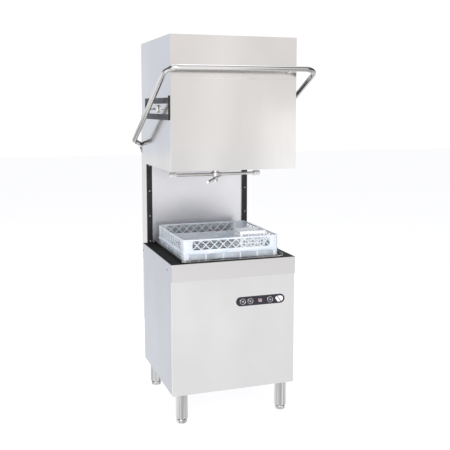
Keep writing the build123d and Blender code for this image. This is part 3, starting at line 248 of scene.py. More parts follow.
# glass-filled polypropylene of the pump: charcoal, dull, with pale flow streaks
finishes["pumpPlastic"] = makeFinish("polypropylene_glass_filled", {
    "colour": "#2B2C2F", "second": "#3A3B3E", "metallic": 0.0, "roughness": 0.55, "unevenness": 0.08,
    "grain": (1.6, 1.6, 6), "mottle": (22, 22, 50), "relief": 0.08})

# closed-cell foam jacket of the boiler: dead black, bubbly skin
finishes["foamJacket"] = makeFinish("foam_nitrile_jacket", {
    "colour": "#26272A", "second": "#303135", "metallic": 0.0, "roughness": 0.8, "unevenness": 0.08,
    "grain": (1.3, 1.3, 1.3), "mottle": (25, 25, 25), "relief": 0.25, "sockets": {"Sheen Weight": 0.15}})

# machined brass of the inlet valve, dulled by handling
finishes["brass"] = makeFinish("brass_machined", {
    "colour": "#C9A463", "second": "#A9854B", "metallic": 1.0, "roughness": 0.32, "unevenness": 0.08,
    "grain": (8, 1, 8), "mottle": (10, 10, 10), "relief": 0.02})

# black polyamide of the cable gland and the strain reliefs
finishes["blackNylon"] = makeFinish("polyamide_black", {
    "colour": "#19191A", "second": "#242426", "metallic": 0.0, "roughness": 0.45, "unevenness": 0.06,
    "grain": (1, 1, 1), "mottle": (8, 8, 8), "relief": 0.03})


def lensFinish():
    # frosted polycarbonate: a dark slanted end, then white and grey slanted bands painted on as highlight and
    # reflection;
    # each band's number is where it ends, in millimetres across the lens
    look = {"slant": 38, "rest": "#F7F7FA",
            "paintedBands": ((-14, "#2B2634"), (-4, "#F7F7FA"), (3, "#9D9BA6"), (9, "#F4F4F8"))}
    material, tree, shader = startMaterial("polycarbonate_painted_highlight_bands", {"Roughness": 0.22, "Coat Weight": 0.3})
    low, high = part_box("status_lens")
    middle = (low + high) / 2
    place = addNode(tree, "TexCoord").outputs["Object"]
    centred = addNode(tree, "Mapping", {"Vector": place, "Location": [-c for c in middle]})
    slant = (0, radians(look["slant"]), 0)
    turned = addNode(tree, "Mapping", {"Vector": centred.outputs[0], "Rotation": slant})
    across = addNode(tree, "SeparateXYZ", {0: turned.outputs[0]}).outputs[0]
    colour = linearColour(look["rest"])
    for limit, tone in reversed(look["paintedBands"]):
        before = addNode(tree, "Math", {0: across, 1: limit * mm}, operation="LESS_THAN").outputs[0]
        colour = blendColours(tree, before, colour, linearColour(tone))
    tree.links.new(colour, shader.inputs["Base Color"])
    return material


def worktopFinish():
    # linished steel on the apron; the deck inside its bright edge is painted nearly black, matt and not
    # metal: a painted reflection of the shaded hood interior
    look = {"edge": 0.5, "deckPaintedReflection": "#0C0B0B", "deckRoughness": 0.6, "deckSpecular": 0.12, "front": "#CFCDCD",
            "side": "#ADB0B9", "sideDepth": 1.5, "grain": (160, 160, 2.2), "roughness": (0.13, 0.19),
            "relief": 0.01}
    sockets = {"Specular IOR Level": look["deckSpecular"]}
    material, tree, shader = startMaterial("stainless_apron_painted_dark_deck", sockets)
    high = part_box("wash_tank")[1]
    place = addNode(tree, "TexCoord").outputs["Object"]
    spots = addNode(tree, "SeparateXYZ", {0: place}).outputs
    deckFrom = high.z - look["edge"] * mm
    # the deck top is painted nearly black: painted reflection of the shaded hood interior
    onPaintedDarkDeck = addNode(tree, "Math", {0: spots[2], 1: deckFrom}, operation="GREATER_THAN").outputs[0]
    away = addNode(tree, "Math", {0: spots[0]}, operation="ABSOLUTE").outputs[0]
    # the apron's side faces take the darker, cooler side tone: painted shade, as on the side panels
    sideFrom = high.x - look["sideDepth"] * mm
    onShadedSide = addNode(tree, "Math", {0: away, 1: sideFrom}, operation="GREATER_THAN").outputs[0]
    level = grainOf(tree, look["grain"])
    apron = blendColours(tree, onShadedSide, linearColour(look["front"]), linearColour(look["side"]))
    colour = blendColours(tree, onPaintedDarkDeck, apron, linearColour(look["deckPaintedReflection"]))
    tree.links.new(colour, shader.inputs["Base Color"])
    metal = addNode(tree, "Math", {0: 1.0, 1: onPaintedDarkDeck}, operation="SUBTRACT").outputs[0]
    tree.links.new(metal, shader.inputs["Metallic"])
    gloss = spread(tree, level, *look["roughness"])
    mixed = addNode(tree, "Mix", {0: onPaintedDarkDeck, 2: gloss, 3: look["deckRoughness"]}).outputs[0]
    tree.links.new(mixed, shader.inputs["Roughness"])
    bump = addNode(tree, "Bump", {"Height": level, "Distance": look["relief"] * mm})
    tree.links.new(bump.outputs[0], shader.inputs["Normal"])
    return material


def handleFinish():
    # polished tube: long light and dark streaks are painted along the bar and along each side arm as a
    # painted reflection
    look = {"paintedLight": "#DCDAD8", "paintedDark": "#8B8A89", "streak": 8, "long": 900, "armWide": 26,
            "contrast": (0.42, 0.6)}
    material, tree, shader = startMaterial("stainless_handle_painted_reflection_streaks", {"Metallic": 1.0, "Roughness": 0.1})
    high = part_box("handle_tube")[1]
    place = addNode(tree, "TexCoord").outputs["Object"]
    across = addNode(tree, "SeparateXYZ", {0: place}).outputs[0]
    away = addNode(tree, "Math", {0: across}, operation="ABSOLUTE").outputs[0]
    armFrom = high.x - look["armWide"] * mm
    onArm = addNode(tree, "Math", {0: away, 1: armFrom}, operation="GREATER_THAN").outputs[0]
    alongBar = grainOf(tree, (look["long"], look["streak"], look["streak"]), 1.0)
    alongArm = grainOf(tree, (look["streak"], look["long"], look["long"]), 1.0)
    streak = addNode(tree, "Mix", {0: onArm, 2: alongBar, 3: alongArm}).outputs[0]
    shade = spread(tree, streak, 0.0, 1.0, *look["contrast"])
    # the streaks' light and dark tones are painted reflection
    colour = blendColours(tree, shade, linearColour(look["paintedLight"]), linearColour(look["paintedDark"]))
    tree.links.new(colour, shader.inputs["Base Color"])
    return material


finishes["handleTube"] = handleFinish()
finishes["lensPaintedHighlights"] = lensFinish()
finishes["worktop"] = worktopFinish()
print("materials made:", len(finishes))

# Which finish each CAD node gets, and how far its edges are softened, in millimetres
sheetEdge = 0.5
nodeLooks = {
    "steelSheet": (sheetEdge, ["front_panel", "hood_shell", "hood_front_panel", "rear_cover",
                               "column_left", "column_right"]),
    "steelSidePaintedShade": (sheetEdge, ["side_panel_left", "side_panel_right"]),
    "steelMill": (sheetEdge, ["rear_panel", "chassis_tray", "chamber_rear_panel", "column_crossbeam",
                              "tank_filter", "sump_strainer"]),
    "worktop": (0, ["wash_tank"]),
    "handleTube": (0.6, ["handle_tube"]),
    "steelPolished": (0.6, ["rack_guide"]),
    "steelLegPaintedStreaks": (0.6, [kind + c for kind in ("leg_", "foot_") for c in cornerNames]),
    "steelSatin": (0.5, ["wash_manifold", "lower_wash_arm", "upper_wash_arm", "lower_rinse_arm",
                         "upper_rinse_arm", "overflow_pipe", "tank_element", "drain_outlet"]),
    "zincSteel": (0.8, ["lever_shaft", "spring_rods"]),
    "springWire": (0, ["counter_springs"]),
    "blackGuide": (0.8, ["guide_strip_left", "guide_strip_right", "handle_guide_left", "handle_guide_right"]),
    "whiteAcetal": (0.8, ["hood_sliders", "handle_rollers", "axle_bushes", "upper_arm_caps"]),
    "rackPlastic": (0.5, ["rack"]),
    "basketPlastic": (0.4, ["cutlery_basket"]),
    "fasciaPlastic": (0.3, ["control_fascia"]),
    "buttonPlastic": (0.3, ["power_button", "cycle_button", "start_button"]),
    "smokedAcrylic": (0.2, ["display_window"]),
    "lensPaintedHighlights": (0.4, ["status_lens"]),
    "circuitBoard": (0.2, ["control_board"]),
    "enclosureGrey": (1.0, ["electrical_box"]),
    "castMotor": (1.0, ["pump_motor"]),
    "pumpPlastic": (0.8, ["pump_housing", "pump_impeller"]),
    "foamJacket": (1.0, ["boiler_tank"]),
    "brass": (0.6, ["water_inlet"]),
    "blackNylon": (0.4, ["cable_gland"]),
}


softening = {"weld": 0.005, "segments": 2, "angle": 38}


def softenNode(node, width):
    # the node's triangles are welded, its sharp edges rounded, and its flats kept flat
    weld = node.modifiers.new("weld", "WELD")
    weld.merge_threshold = softening["weld"] * mm
    bevel = node.modifiers.new("soften", "BEVEL")
    bevel.width = width * mm
    bevel.segments = softening["segments"]
    bevel.limit_method = "ANGLE"
    bevel.angle_limit = radians(softening["angle"])
    flats = node.modifiers.new("flats", "WEIGHTED_NORMAL")
    flats.keep_sharp = False


for finishName, (edge, names) in nodeLooks.items():
    for name in names:
        node = frame["nodes"][name]
        if not node.material_slots:
            node.data.materials.append(finishes[finishName])
        for holder in node.material_slots:
            holder.material = finishes[finishName]
        if edge:
            softenNode(node, edge)
dressed = sum(len(names) for edge, names in nodeLooks.values())
print("CAD nodes dressed:", dressed)


# Small modelling tools

def towards(direction):
    return upright.rotation_difference(Vector(direction)).to_matrix().to_4x4()


def edgesOf(verts):
    return list(dict.fromkeys(edge for vert in verts for edge in vert.link_edges))


def addRound(bm, start, end, radius, endRadius=None, segments=20):
    # a solid round bar or cone between two points
    start, end = Vector(start), Vector(end)
    run = end - start
    place = Matrix.Translation((start + end) / 2) @ towards(run)
    far = radius if endRadius is None else endRadius
    made = bmesh.ops.create_cone(
        bm, cap_ends=True, segments=segments, radius1=radius, radius2=far, depth=run.length, matrix=place)
    return made["verts"]


def addBox(bm, low, high, soften=0.0, turn=None):
    # a box between two corners, its edges rounded, turned about turn if given
    low, high = Vector(low), Vector(high)
    size = high - low
    place = Matrix.Translation((low + high) / 2) @ Matrix.Diagonal((*size, 1))
    verts = bmesh.ops.create_cube(bm, size=1.0, matrix=(turn @ place) if turn else place)["verts"]
    if soften:
        bmesh.ops.bevel(
            bm, geom=edgesOf(verts), offset=soften, segments=2, profile=0.5, affect="EDGES", material=-1)


def addRing(bm, centre, axis, radius, thick, wide, steps, segments=8):
    # a closed ring whose section is an ellipse, thick across the axis and wide along it
    centre, axis = Vector(centre), Vector(axis).normalized()
    section = Matrix.Translation((radius, 0, 0)) @ Matrix.Rotation(pi / 2, 4, "X")
    shape = Matrix.Diagonal((thick / 2, wide / 2, 1, 1))
    made = bmesh.ops.create_circle(bm, cap_ends=False, segments=segments, radius=1.0, matrix=section @ shape)
    turn = Matrix.Translation(centre) @ towards(axis)
    bmesh.ops.transform(bm, matrix=turn, verts=made["verts"])
    bmesh.ops.spin(
        bm, geom=edgesOf(made["verts"]) + made["verts"], cent=centre, axis=axis, dvec=(0, 0, 0),
        angle=2 * pi, steps=steps, use_merge=True, use_duplicate=False)


def addScrew(bm, place, normal, radius, proud, segments=12):
    # a domed head with a drive recess sunk in it
    place, normal = Vector(place), Vector(normal).normalized()
    verts = addRound(bm, place, place + normal * proud, radius, radius * 0.72, segments)
    faces = {face for vert in verts for face in vert.link_faces}
    top = max(faces, key=lambda f: f.calc_center_median().dot(normal))
    bmesh.ops.inset_region(bm, faces=[top], thickness=radius * 0.3)
    bmesh.ops.translate(bm, verts=top.verts[:], vec=-normal * proud * 0.6)


def addFrame(bm, low, high, corner, width):
    # a rounded rectangular frame lying level, of rectangular section, between two opposite corners
    low, high = Vector(low), Vector(high)
    middle = (low + high) / 2
    place = Matrix.Translation((middle.x, middle.y, low.z))
    place = place @ Matrix.Diagonal((high.x - low.x, high.y - low.y, 1, 1))
    made = bmesh.ops.create_grid(bm, x_segments=1, y_segments=1, size=0.5, matrix=place)["verts"]
    bmesh.ops.bevel(
        bm, geom=made, offset=corner, segments=6, profile=0.5, affect="VERTICES", material=-1)
    sheet = [f for f in bm.faces if not f.tag and all(abs(v.co.z - low.z) < 1e-6 for v in f.verts)]
    ring = bmesh.ops.inset_region(
        bm, faces=sheet, thickness=width, use_even_offset=True, use_boundary=True)["faces"]
    bmesh.ops.delete(bm, geom=sheet, context="FACES")
    raised = bmesh.ops.extrude_face_region(bm, geom=ring, use_keep_orig=True)["geom"]
    verts = [g for g in raised if isinstance(g, bmesh.types.BMVert)]
    bmesh.ops.translate(bm, verts=verts, vec=(0, 0, high.z - low.z))
    for face in bm.faces:
        face.tag = True


def finishPiece(name, bm, finishName, body, sharpAngle=35):
    # turns the bmesh into an object at the origin, riding on its body
    bmesh.ops.remove_doubles(bm, verts=bm.verts[:], dist=0.002 * mm)
    bmesh.ops.recalc_face_normals(bm, faces=bm.faces[:])
    for face in bm.faces:
        face.smooth = True
    for edge in bm.edges:
        edge.smooth = len(edge.link_faces) == 2 and edge.calc_face_angle(0) < radians(sharpAngle)
    mesh = bpy.data.meshes.new(name)
    bm.to_mesh(mesh)
    bm.free()
    mesh.materials.append(finishes[finishName])
    piece = bpy.data.objects.new(name, mesh)
    bpy.context.scene.collection.objects.link(piece)
    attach(piece, body)
    return piece


# Control fascia: nickel rings, printed signs and the lit digits
fasciaLook = {"ringRadius": 14.2, "ringWide": 2.2, "ringProud": 0.9, "inkThick": 0.3, "signSize": 4.2,
              "signRing": 0.8, "signLine": 1.1, "barWide": 1.2, "barTall": 1.25, "dot": 0.32}
buttons = {name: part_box(name + "_button") for name in ("power", "cycle", "start")}
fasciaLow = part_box("control_fascia")[0]
bm = bmesh.new()
for low, high in buttons.values():
    centre = ((low.x + high.x) / 2, fasciaLow.y, (low.z + high.z) / 2)
    addRing(bm, centre, (0, 1, 0), fasciaLook["ringRadius"] * mm, fasciaLook["ringWide"] * mm,
            fasciaLook["ringProud"] * 2 * mm, steps=40, segments=8)
finishPiece("button_rings", bm, "nickelRing", "machine")

for name, (low, high) in buttons.items():
    face = Vector(((low.x + high.x) / 2, low.y, (low.z + high.z) / 2))
    ink = fasciaLook["inkThick"] * mm
    size = fasciaLook["signSize"] * mm
    bm = bmesh.new()
    if name == "start":
        arrow = addRound(bm, face, face - Vector((0, ink, 0)), size, segments=3)
        bmesh.ops.rotate(bm, verts=arrow, cent=face, matrix=Matrix.Rotation(radians(90), 3, "Y"))
    else:
        ring, line = size * fasciaLook["signRing"], fasciaLook["signLine"] * mm
        addRing(bm, face, (0, 1, 0), ring, line, 2 * ink, steps=28, segments=6)
        if name == "power":
            half, tall = fasciaLook["barWide"] / 2 * mm, fasciaLook["barTall"] * size
            addBox(bm, face + Vector((-half, -ink, 0)), face + Vector((half, 0, tall)))
        else:
            addRound(bm, face, face - Vector((0, ink, 0)), size * fasciaLook["dot"], segments=14)
    finishPiece(name + "_sign", bm, "whiteInk", name + "_button")

digitLook = {"height": 12.5, "width": 6.6, "bar": 1.7, "spacing": 9.6, "proud": 0.25, "sunk": 0.1,
             "fill": 0.86}
digitSegments = {"5": "afgcd", "8": "abcdefg"}
displayLow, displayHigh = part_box("display_window")
displayMiddle = (displayLow + displayHigh) / 2
bm = bmesh.new()
for step, digit in ((-0.5, "5"), (0.5, "8")):
    wide, tall, bar = (digitLook[k] * mm / 2 for k in ("width", "height", "bar"))
    spots = {"a": (0, tall, wide, bar), "g": (0, 0, wide, bar), "d": (0, -tall, wide, bar),
             "b": (wide, tall / 2, bar, tall / 2), "c": (wide, -tall / 2, bar, tall / 2),
             "f": (-wide, tall / 2, bar, tall / 2), "e": (-wide, -tall / 2, bar, tall / 2)}
    for letter in digitSegments[digit]:
        x, z, halfX, halfZ = spots[letter]
        x += displayMiddle.x + step * digitLook["spacing"] * mm
        z += displayMiddle.z
        halfX *= digitLook["fill"]
        halfZ *= digitLook["fill"]
        addBox(bm, (x - halfX, displayLow.y - digitLook["proud"] * mm, z - halfZ),
               (x + halfX, displayLow.y + digitLook["sunk"] * mm, z + halfZ))
finishPiece("display_digits", bm, "litSegments", "machine")
print("fascia details made")

# Screws on the casing: the apron's sides, the rear cover, the guide strips and the guide frames.
# Radii, heights of the heads and distances from an edge are in millimetres, heights z and places y in metres.
screwLook = {"casing": 4.5, "casingProud": 1.6, "apronY": (-0.2255, 0.3), "apronDrop": 40, "coverRows": 6,
             "coverEnds": 40, "coverSides": 30, "strip": 4.0, "stripProud": 1.2,
             "stripZ": (0.8155, 0.955, 1.0945, 1.234), "frameProud": 1.0, "frameEnds": 60,
             "frameBottom": 14, "frameTop": 23}
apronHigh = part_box("wash_tank")[1]
coverLow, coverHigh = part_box("rear_cover")
bm = bmesh.new()
casingRadius, casingProud = screwLook["casing"] * mm, screwLook["casingProud"] * mm
for side in sideNames.values():
    for y in screwLook["apronY"]:
        spot = (side * apronHigh.x, y, apronHigh.z - screwLook["apronDrop"] * mm)
        addScrew(bm, spot, (side, 0, 0), casingRadius, casingProud)
coverRun = coverHigh.z - coverLow.z - 2 * screwLook["coverEnds"] * mm
for row in range(screwLook["coverRows"]):
    z = coverLow.z + screwLook["coverEnds"] * mm + row * coverRun / (screwLook["coverRows"] - 1)
    for side in sideNames.values():
        spot = (side * (coverHigh.x - screwLook["coverSides"] * mm), coverHigh.y, z)
        addScrew(bm, spot, (0, 1, 0), casingRadius, casingProud)
finishPiece("casing_screws", bm, "zincSteel", "machine")

bm = bmesh.new()
stripRadius, stripProud = screwLook["strip"] * mm, screwLook["stripProud"] * mm
for name in sideNames:
    low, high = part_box("guide_strip_" + name)
    for z in screwLook["stripZ"]:
        addScrew(bm, ((low.x + high.x) / 2, low.y, z), (0, -1, 0), stripRadius, stripProud)
finishPiece("strip_screws", bm, "steelPolished", "machine")

bm = bmesh.new()
for name, side in sideNames.items():
    low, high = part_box("handle_guide_" + name)
    face = high.x if side > 0 else low.x
    for y in (low.y + screwLook["frameEnds"] * mm, high.y - screwLook["frameEnds"] * mm):
        for z in (low.z + screwLook["frameBottom"] * mm, high.z - screwLook["frameTop"] * mm):
            addScrew(bm, (face, y, z), (side, 0, 0), stripRadius, screwLook["frameProud"] * mm)
finishPiece("guide_frame_screws", bm, "blackNylon", "hood")
print("screws made")

# Counter springs: two coils that stand for the plain sleeves
springLook = {"wire": 3.0, "coils": 13, "segments": 10, "steps": 26}
springLow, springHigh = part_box("counter_springs")
bm = bmesh.new()
wire = springLook["wire"] * mm / 2
coilRadius = (springHigh.y - springLow.y) / 2 - wire
middleY = (springHigh.y + springLow.y) / 2
rise = springHigh.z - springLow.z - 2 * wire
steps = springLook["coils"] * springLook["steps"]
for side in (-1, 1):
    centre = Vector((side * (springHigh.x - coilRadius - wire), middleY, springLow.z + wire))
    section = Matrix.Translation(centre + Vector((coilRadius, 0, 0))) @ Matrix.Rotation(pi / 2, 4, "X")
    made = bmesh.ops.create_circle(
        bm, cap_ends=True, segments=springLook["segments"], radius=wire, matrix=section)["verts"]
    faces = list({face for vert in made for face in vert.link_faces})
    bmesh.ops.spin(
        bm, geom=faces + made + edgesOf(made), cent=centre, axis=(0, 0, 1), dvec=(0, 0, rise / steps),
        angle=2 * pi * springLook["coils"], steps=steps, use_merge=False, use_duplicate=False)
springs = finishPiece("counter_spring_coils", bm, "springWire", "machine", sharpAngle=60)
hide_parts("counter_springs")
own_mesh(springs)
print("counter springs wound")

# Handle: bolts and washers where its hubs turn
handleLook = {"bolt": 9.0, "head": 7.0, "washer": 15.0, "washerThick": 2.0}
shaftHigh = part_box("lever_shaft")[1]
pivot = next(j for j in frame["joints"] if j["name"] == "handle_swing")["pos_m"]
bm = bmesh.new()
for side in (-1, 1):
    face = Vector((side * shaftHigh.x, pivot[1], pivot[2]))
    out = Vector((side * mm, 0, 0))
    start = face + out * handleLook["washerThick"]
    addRound(bm, face, start, handleLook["washer"] * mm, segments=28)
    addRound(bm, start, start + out * handleLook["head"], handleLook["bolt"] * mm, segments=6)
finishPiece("hub_bolts", bm, "zincSteel", "handle")

# Spray arms: white end caps on the lower wash arm, jets on both rinse arms
armLook = {"capLong": 36, "capWide": 38, "capTall": 27, "capOut": 18, "capCorner": 9, "washTurn": 40,
           "jetSteps": 4, "jetFrom": 50, "jetPitch": 46, "jetRadius": 3.2, "jetFlare": 1.25, "jetStart": 3,
           "jetTall": 6.5, "rinse": {"lower": (1, -25), "upper": (-1, 62)}}
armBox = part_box("lower_wash_arm")
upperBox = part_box("upper_wash_arm")
armMiddleZ = (armBox[0].z + armBox[1].z) / 2
armHalf = (upperBox[1].x - upperBox[0].x) / 2
bm = bmesh.new()
for side in (-1, 1):
    turn = Matrix.Translation((0, 0, armMiddleZ)) @ Matrix.Rotation(radians(armLook["washTurn"]), 4, "Z")
    outer = side * (armHalf + armLook["capOut"] * mm)
    inner = outer - side * armLook["capLong"] * mm
    half = Vector((0, armLook["capWide"] / 2 * mm, armLook["capTall"] / 2 * mm))
    low = Vector((min(inner, outer), -half.y, -half.z))
    high = Vector((max(inner, outer), half.y, half.z))
    addBox(bm, low, high, armLook["capCorner"] * mm, turn)
finishPiece("lower_arm_caps", bm, "whiteAcetal", "lower_wash_arm", sharpAngle=50)

for name, (way, turnAngle) in armLook["rinse"].items():
    low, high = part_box(name + "_rinse_arm")
    z = (low.z + high.z) / 2 + way * armLook["jetStart"] * mm
    along = Vector((cos(radians(turnAngle)), sin(radians(turnAngle)), 0))
    radius = armLook["jetRadius"] * mm
    bm = bmesh.new()
    for side in (-1, 1):
        for step in range(armLook["jetSteps"]):
            away = (armLook["jetFrom"] + step * armLook["jetPitch"]) * mm
            spot = along * side * away + Vector((0, 0, z))
            tip = spot + Vector((0, 0, way * armLook["jetTall"] * mm))
            addRound(bm, spot, tip, radius * armLook["jetFlare"], radius, 10)
    finishPiece(name + "_rinse_jets", bm, "steelPolished", name + "_rinse_arm")
print("handle and spray arm details made")

# Dish rack: rim, ledge and foot skirt over the moulded walls. A frame's drop is from the rack's top edge.
rackLook = {"corner": 19.5, "rim": {"drop": -0.6, "tall": 7, "wide": 7, "proud": 1.6},
            "ledge": {"drop": 66, "tall": 4, "wide": 6.2, "proud": 4.5},
            "skirtLow": 1.5, "skirtHigh": 27, "skirtProud": 3.2, "skirtSunk": 1, "skirtCorner": 1.0,
            "skirtPlates": 5, "skirtGap": 9, "skirtEnds": 25}
rackLow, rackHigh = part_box("rack")
bm = bmesh.new()
for look in (rackLook["rim"], rackLook["ledge"]):
    proud = Vector((look["proud"] * mm, look["proud"] * mm, 0))
    top = rackHigh.z - look["drop"] * mm
    low = Vector((rackLow.x, rackLow.y, top - look["tall"] * mm)) - proud
    high = Vector((rackHigh.x, rackHigh.y, top)) + proud
    addFrame(bm, low, high, rackLook["corner"] * mm, look["wide"] * mm)
finishPiece("rack_rims", bm, "rackPlastic", "rack")

bm = bmesh.new()
rackMiddle = (rackLow + rackHigh) / 2
rackHalf = (rackHigh.x - rackLow.x) / 2
plateSpan = 2 * (rackHalf - rackLook["skirtEnds"] * mm) / rackLook["skirtPlates"]
for quarter in range(4):
    turn = Matrix.Translation((rackMiddle.x, rackMiddle.y, 0)) @ Matrix.Rotation(quarter * pi / 2, 4, "Z")
    for step in range(rackLook["skirtPlates"]):
        left = -rackHalf + (rackLook["skirtEnds"] + rackLook["skirtGap"] / 2) * mm + step * plateSpan
        right = left + plateSpan - rackLook["skirtGap"] * mm
        low = (left, -rackHalf - rackLook["skirtProud"] * mm, rackLow.z + rackLook["skirtLow"] * mm)
        high = (right, -rackHalf + rackLook["skirtSunk"] * mm, rackLow.z + rackLook["skirtHigh"] * mm)
        addBox(bm, low, high, rackLook["skirtCorner"] * mm, turn)
finishPiece("rack_skirt", bm, "skirtPlasticPaintedShade", "rack")

# Cutlery basket: rolled rim and foot
basketLook = {"tall": 5, "above": 0.5, "proud": 1.5, "corner": 7.5, "wide": 4.0}
basketLow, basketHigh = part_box("cutlery_basket")
basketRims = ((basketHigh.z - basketLook["tall"] * mm, basketHigh.z + basketLook["above"] * mm),
              (basketLow.z, basketLow.z + basketLook["tall"] * mm))
bm = bmesh.new()
proud = Vector((basketLook["proud"] * mm, basketLook["proud"] * mm, 0))
for bottom, top in basketRims:
    low = Vector((basketLow.x, basketLow.y, bottom)) - proud
    high = Vector((basketHigh.x, basketHigh.y, top)) + proud
    addFrame(bm, low, high, basketLook["corner"] * mm, basketLook["wide"] * mm)
finishPiece("basket_rims", bm, "basketPlastic", "cutlery_basket")

# Rack guide: short stop pegs in front of the rack
pegLook = {"radius": 3.4, "tall": 15, "y": -0.283, "x": (-0.2232, -0.1777, 0.1598, 0.2221), "sunk": 0.5,
           "collar": 6.46, "collarTall": 1.6, "tip": 1.7, "tipTall": 3}
bm = bmesh.new()
for x in pegLook["x"]:
    foot = Vector((x, pegLook["y"], apronHigh.z - pegLook["sunk"] * mm))
    neck = foot + upright * (pegLook["tall"] - pegLook["tipTall"]) * mm
    radius = pegLook["radius"] * mm
    addRound(bm, foot, foot + upright * pegLook["collarTall"] * mm, pegLook["collar"] * mm, segments=16)
    addRound(bm, foot, neck, radius, segments=14)
    addRound(bm, neck, neck + upright * pegLook["tipTall"] * mm, radius, pegLook["tip"] * mm, 14)
finishPiece("guide_pegs", bm, "steelPolished", "machine")
print("rack and basket details made")

# Motor: fins but none underneath, a ring at each end of them, and the terminal box on top. The box's corners
# are measured from the motor's left end, its axis and its top.
motorLook = {"fins": 30, "finTall": 4.0, "finThick": 2.2, "finFrom": 40, "finTo": 22, "finSunk": 1,
             "finCorner": 0.6, "underside": 0.93, "ringThick": 5, "ringWide": 6, "ringOut": 4,
             "boxLow": (70, -35, -2), "boxHigh": (140, 11, 26), "boxCorner": 2.5}
motorLow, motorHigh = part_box("pump_motor")
motorRadius = (motorHigh.y - motorLow.y) / 2
motorMiddle = Vector((0, (motorLow.y + motorHigh.y) / 2, motorHigh.z - motorRadius))
finStart = motorLow.x + motorLook["finFrom"] * mm
finEnd = motorHigh.x - motorLook["finTo"] * mm
finHalf = motorLook["finThick"] / 2 * mm
bm = bmesh.new()
for fin in range(motorLook["fins"]):
    angle = 2 * pi * fin / motorLook["fins"]
    turn = Matrix.Translation(motorMiddle) @ Matrix.Rotation(angle, 4, "X")
    low = (finStart, -finHalf, motorRadius - motorLook["finSunk"] * mm)
    high = (finEnd, finHalf, motorRadius + motorLook["finTall"] * mm)
    if abs(sin(angle / 2)) < motorLook["underside"]:
        addBox(bm, low, high, motorLook["finCorner"] * mm, turn)
for x in (finStart - motorLook["ringOut"] * mm, finEnd + motorLook["ringOut"] * mm):
    addRing(bm, (x, motorMiddle.y, motorMiddle.z), (1, 0, 0), motorRadius, motorLook["ringThick"] * mm,
            motorLook["ringWide"] * mm, steps=56)
boxCorner = Vector((motorLow.x, motorMiddle.y, motorHigh.z))
addBox(bm, boxCorner + Vector(motorLook["boxLow"]) * mm, boxCorner + Vector(motorLook["boxHigh"]) * mm,
       motorLook["boxCorner"] * mm)
finishPiece("motor_fins", bm, "castMotor", "machine")

# Pump: a circle of bolts on its lid
pumpLook = {"bolts": 8, "circle": 70, "x": 25, "head": 4.5, "radius": 5.5}
pumpMiddle = Vector((pumpLook["x"] * mm, motorMiddle.y, motorMiddle.z))
bm = bmesh.new()
for step in range(pumpLook["bolts"]):
    angle = 2 * pi * (step + 0.5) / pumpLook["bolts"]
    start = pumpMiddle + Vector((0, cos(angle), sin(angle))) * pumpLook["circle"] * mm
    addRound(bm, start, start + Vector((pumpLook["head"] * mm, 0, 0)), pumpLook["radius"] * mm, segments=6)
finishPiece("pump_bolts", bm, "zincSteel", "machine")

# Boiler: three straps round its jacket, each with a clamp. The clamp's corners are measured from the strap's
# height at the front of the jacket.
boilerLook = {"heights": (0.16, 0.46, 0.72), "strapOut": 0.3, "strapThick": 1.4, "strapWide": 14,
              "clampLow": (-9, -8, -6), "clampHigh": (9, 1, 6), "clampCorner": 1}
boilerLow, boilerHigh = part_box("boiler_tank")
boilerMiddle = (boilerLow + boilerHigh) / 2
boilerRadius = (boilerHigh.x - boilerLow.x) / 2
bm = bmesh.new()
for share in boilerLook["heights"]:
    centre = Vector((boilerMiddle.x, boilerMiddle.y, boilerLow.z + share * (boilerHigh.z - boilerLow.z)))
    addRing(bm, centre, upright, boilerRadius + boilerLook["strapOut"] * mm, boilerLook["strapThick"] * mm,
            boilerLook["strapWide"] * mm, steps=64, segments=10)
    front = centre - Vector((0, boilerRadius, 0))
    addBox(bm, front + Vector(boilerLook["clampLow"]) * mm, front + Vector(boilerLook["clampHigh"]) * mm,
           boilerLook["clampCorner"] * mm)
finishPiece("boiler_straps", bm, "steelSatin", "machine")

# Electrical box: screws in its lid, and three cable entries at the back, each a nut and a sleeve
enclosureLook = {"inset": 12, "screw": 4, "screwProud": 1.5, "pitch": 36, "sunk": 4, "rise": 60,
                 "nut": 11, "nutLong": 8, "sleeve": 8, "sleeveEnd": 7, "sleeveLong": 19}
enclosureLow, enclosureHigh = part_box("electrical_box")
inset = enclosureLook["inset"] * mm
bm = bmesh.new()
for x in (enclosureLow.x + inset, enclosureHigh.x - inset):
    for y in (enclosureLow.y + inset, enclosureHigh.y - inset):
        addScrew(bm, (x, y, enclosureHigh.z), upright, enclosureLook["screw"] * mm,
                 enclosureLook["screwProud"] * mm)
for step in (-1, 0, 1):
    spot = Vector(((enclosureLow.x + enclosureHigh.x) / 2 + step * enclosureLook["pitch"] * mm,
                   enclosureHigh.y - enclosureLook["sunk"] * mm, enclosureLow.z + enclosureLook["rise"] * mm))
    nutEnd = spot + Vector((0, enclosureLook["nutLong"] * mm, 0))
    sleeveEnd = spot + Vector((0, enclosureLook["sleeveLong"] * mm, 0))
    addRound(bm, spot, nutEnd, enclosureLook["nut"] * mm, segments=6)
    addRound(bm, spot, sleeveEnd, enclosureLook["sleeve"] * mm, enclosureLook["sleeveEnd"] * mm, segments=20)
finishPiece("enclosure_fittings", bm, "blackNylon", "machine")

# Control board: chips, relays and switches, each with its place across, width, height and depth
boardLook = {"sunk": 0.2, "corner": 0.6,
             "components": ((-96, 16, 14, 12), (-66, 22, 18, 15), (-20, 12, 12, 2.5), (14, 26, 16, 8),
                            (62, 18, 14, 15), (92, 18, 14, 15))}
boardLow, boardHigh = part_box("control_board")
boardMiddle = (boardLow + boardHigh) / 2
bm = bmesh.new()
for offset, wide, tall, deep in boardLook["components"]:
    x = boardMiddle.x + offset * mm
    low = (x - wide / 2 * mm, boardHigh.y - boardLook["sunk"] * mm, boardMiddle.z - tall / 2 * mm)
    high = (x + wide / 2 * mm, boardHigh.y + deep * mm, boardMiddle.z + tall / 2 * mm)
    addBox(bm, low, high, boardLook["corner"] * mm)
finishPiece("board_components", bm, "blackEpoxy", "machine")
print("base details made")

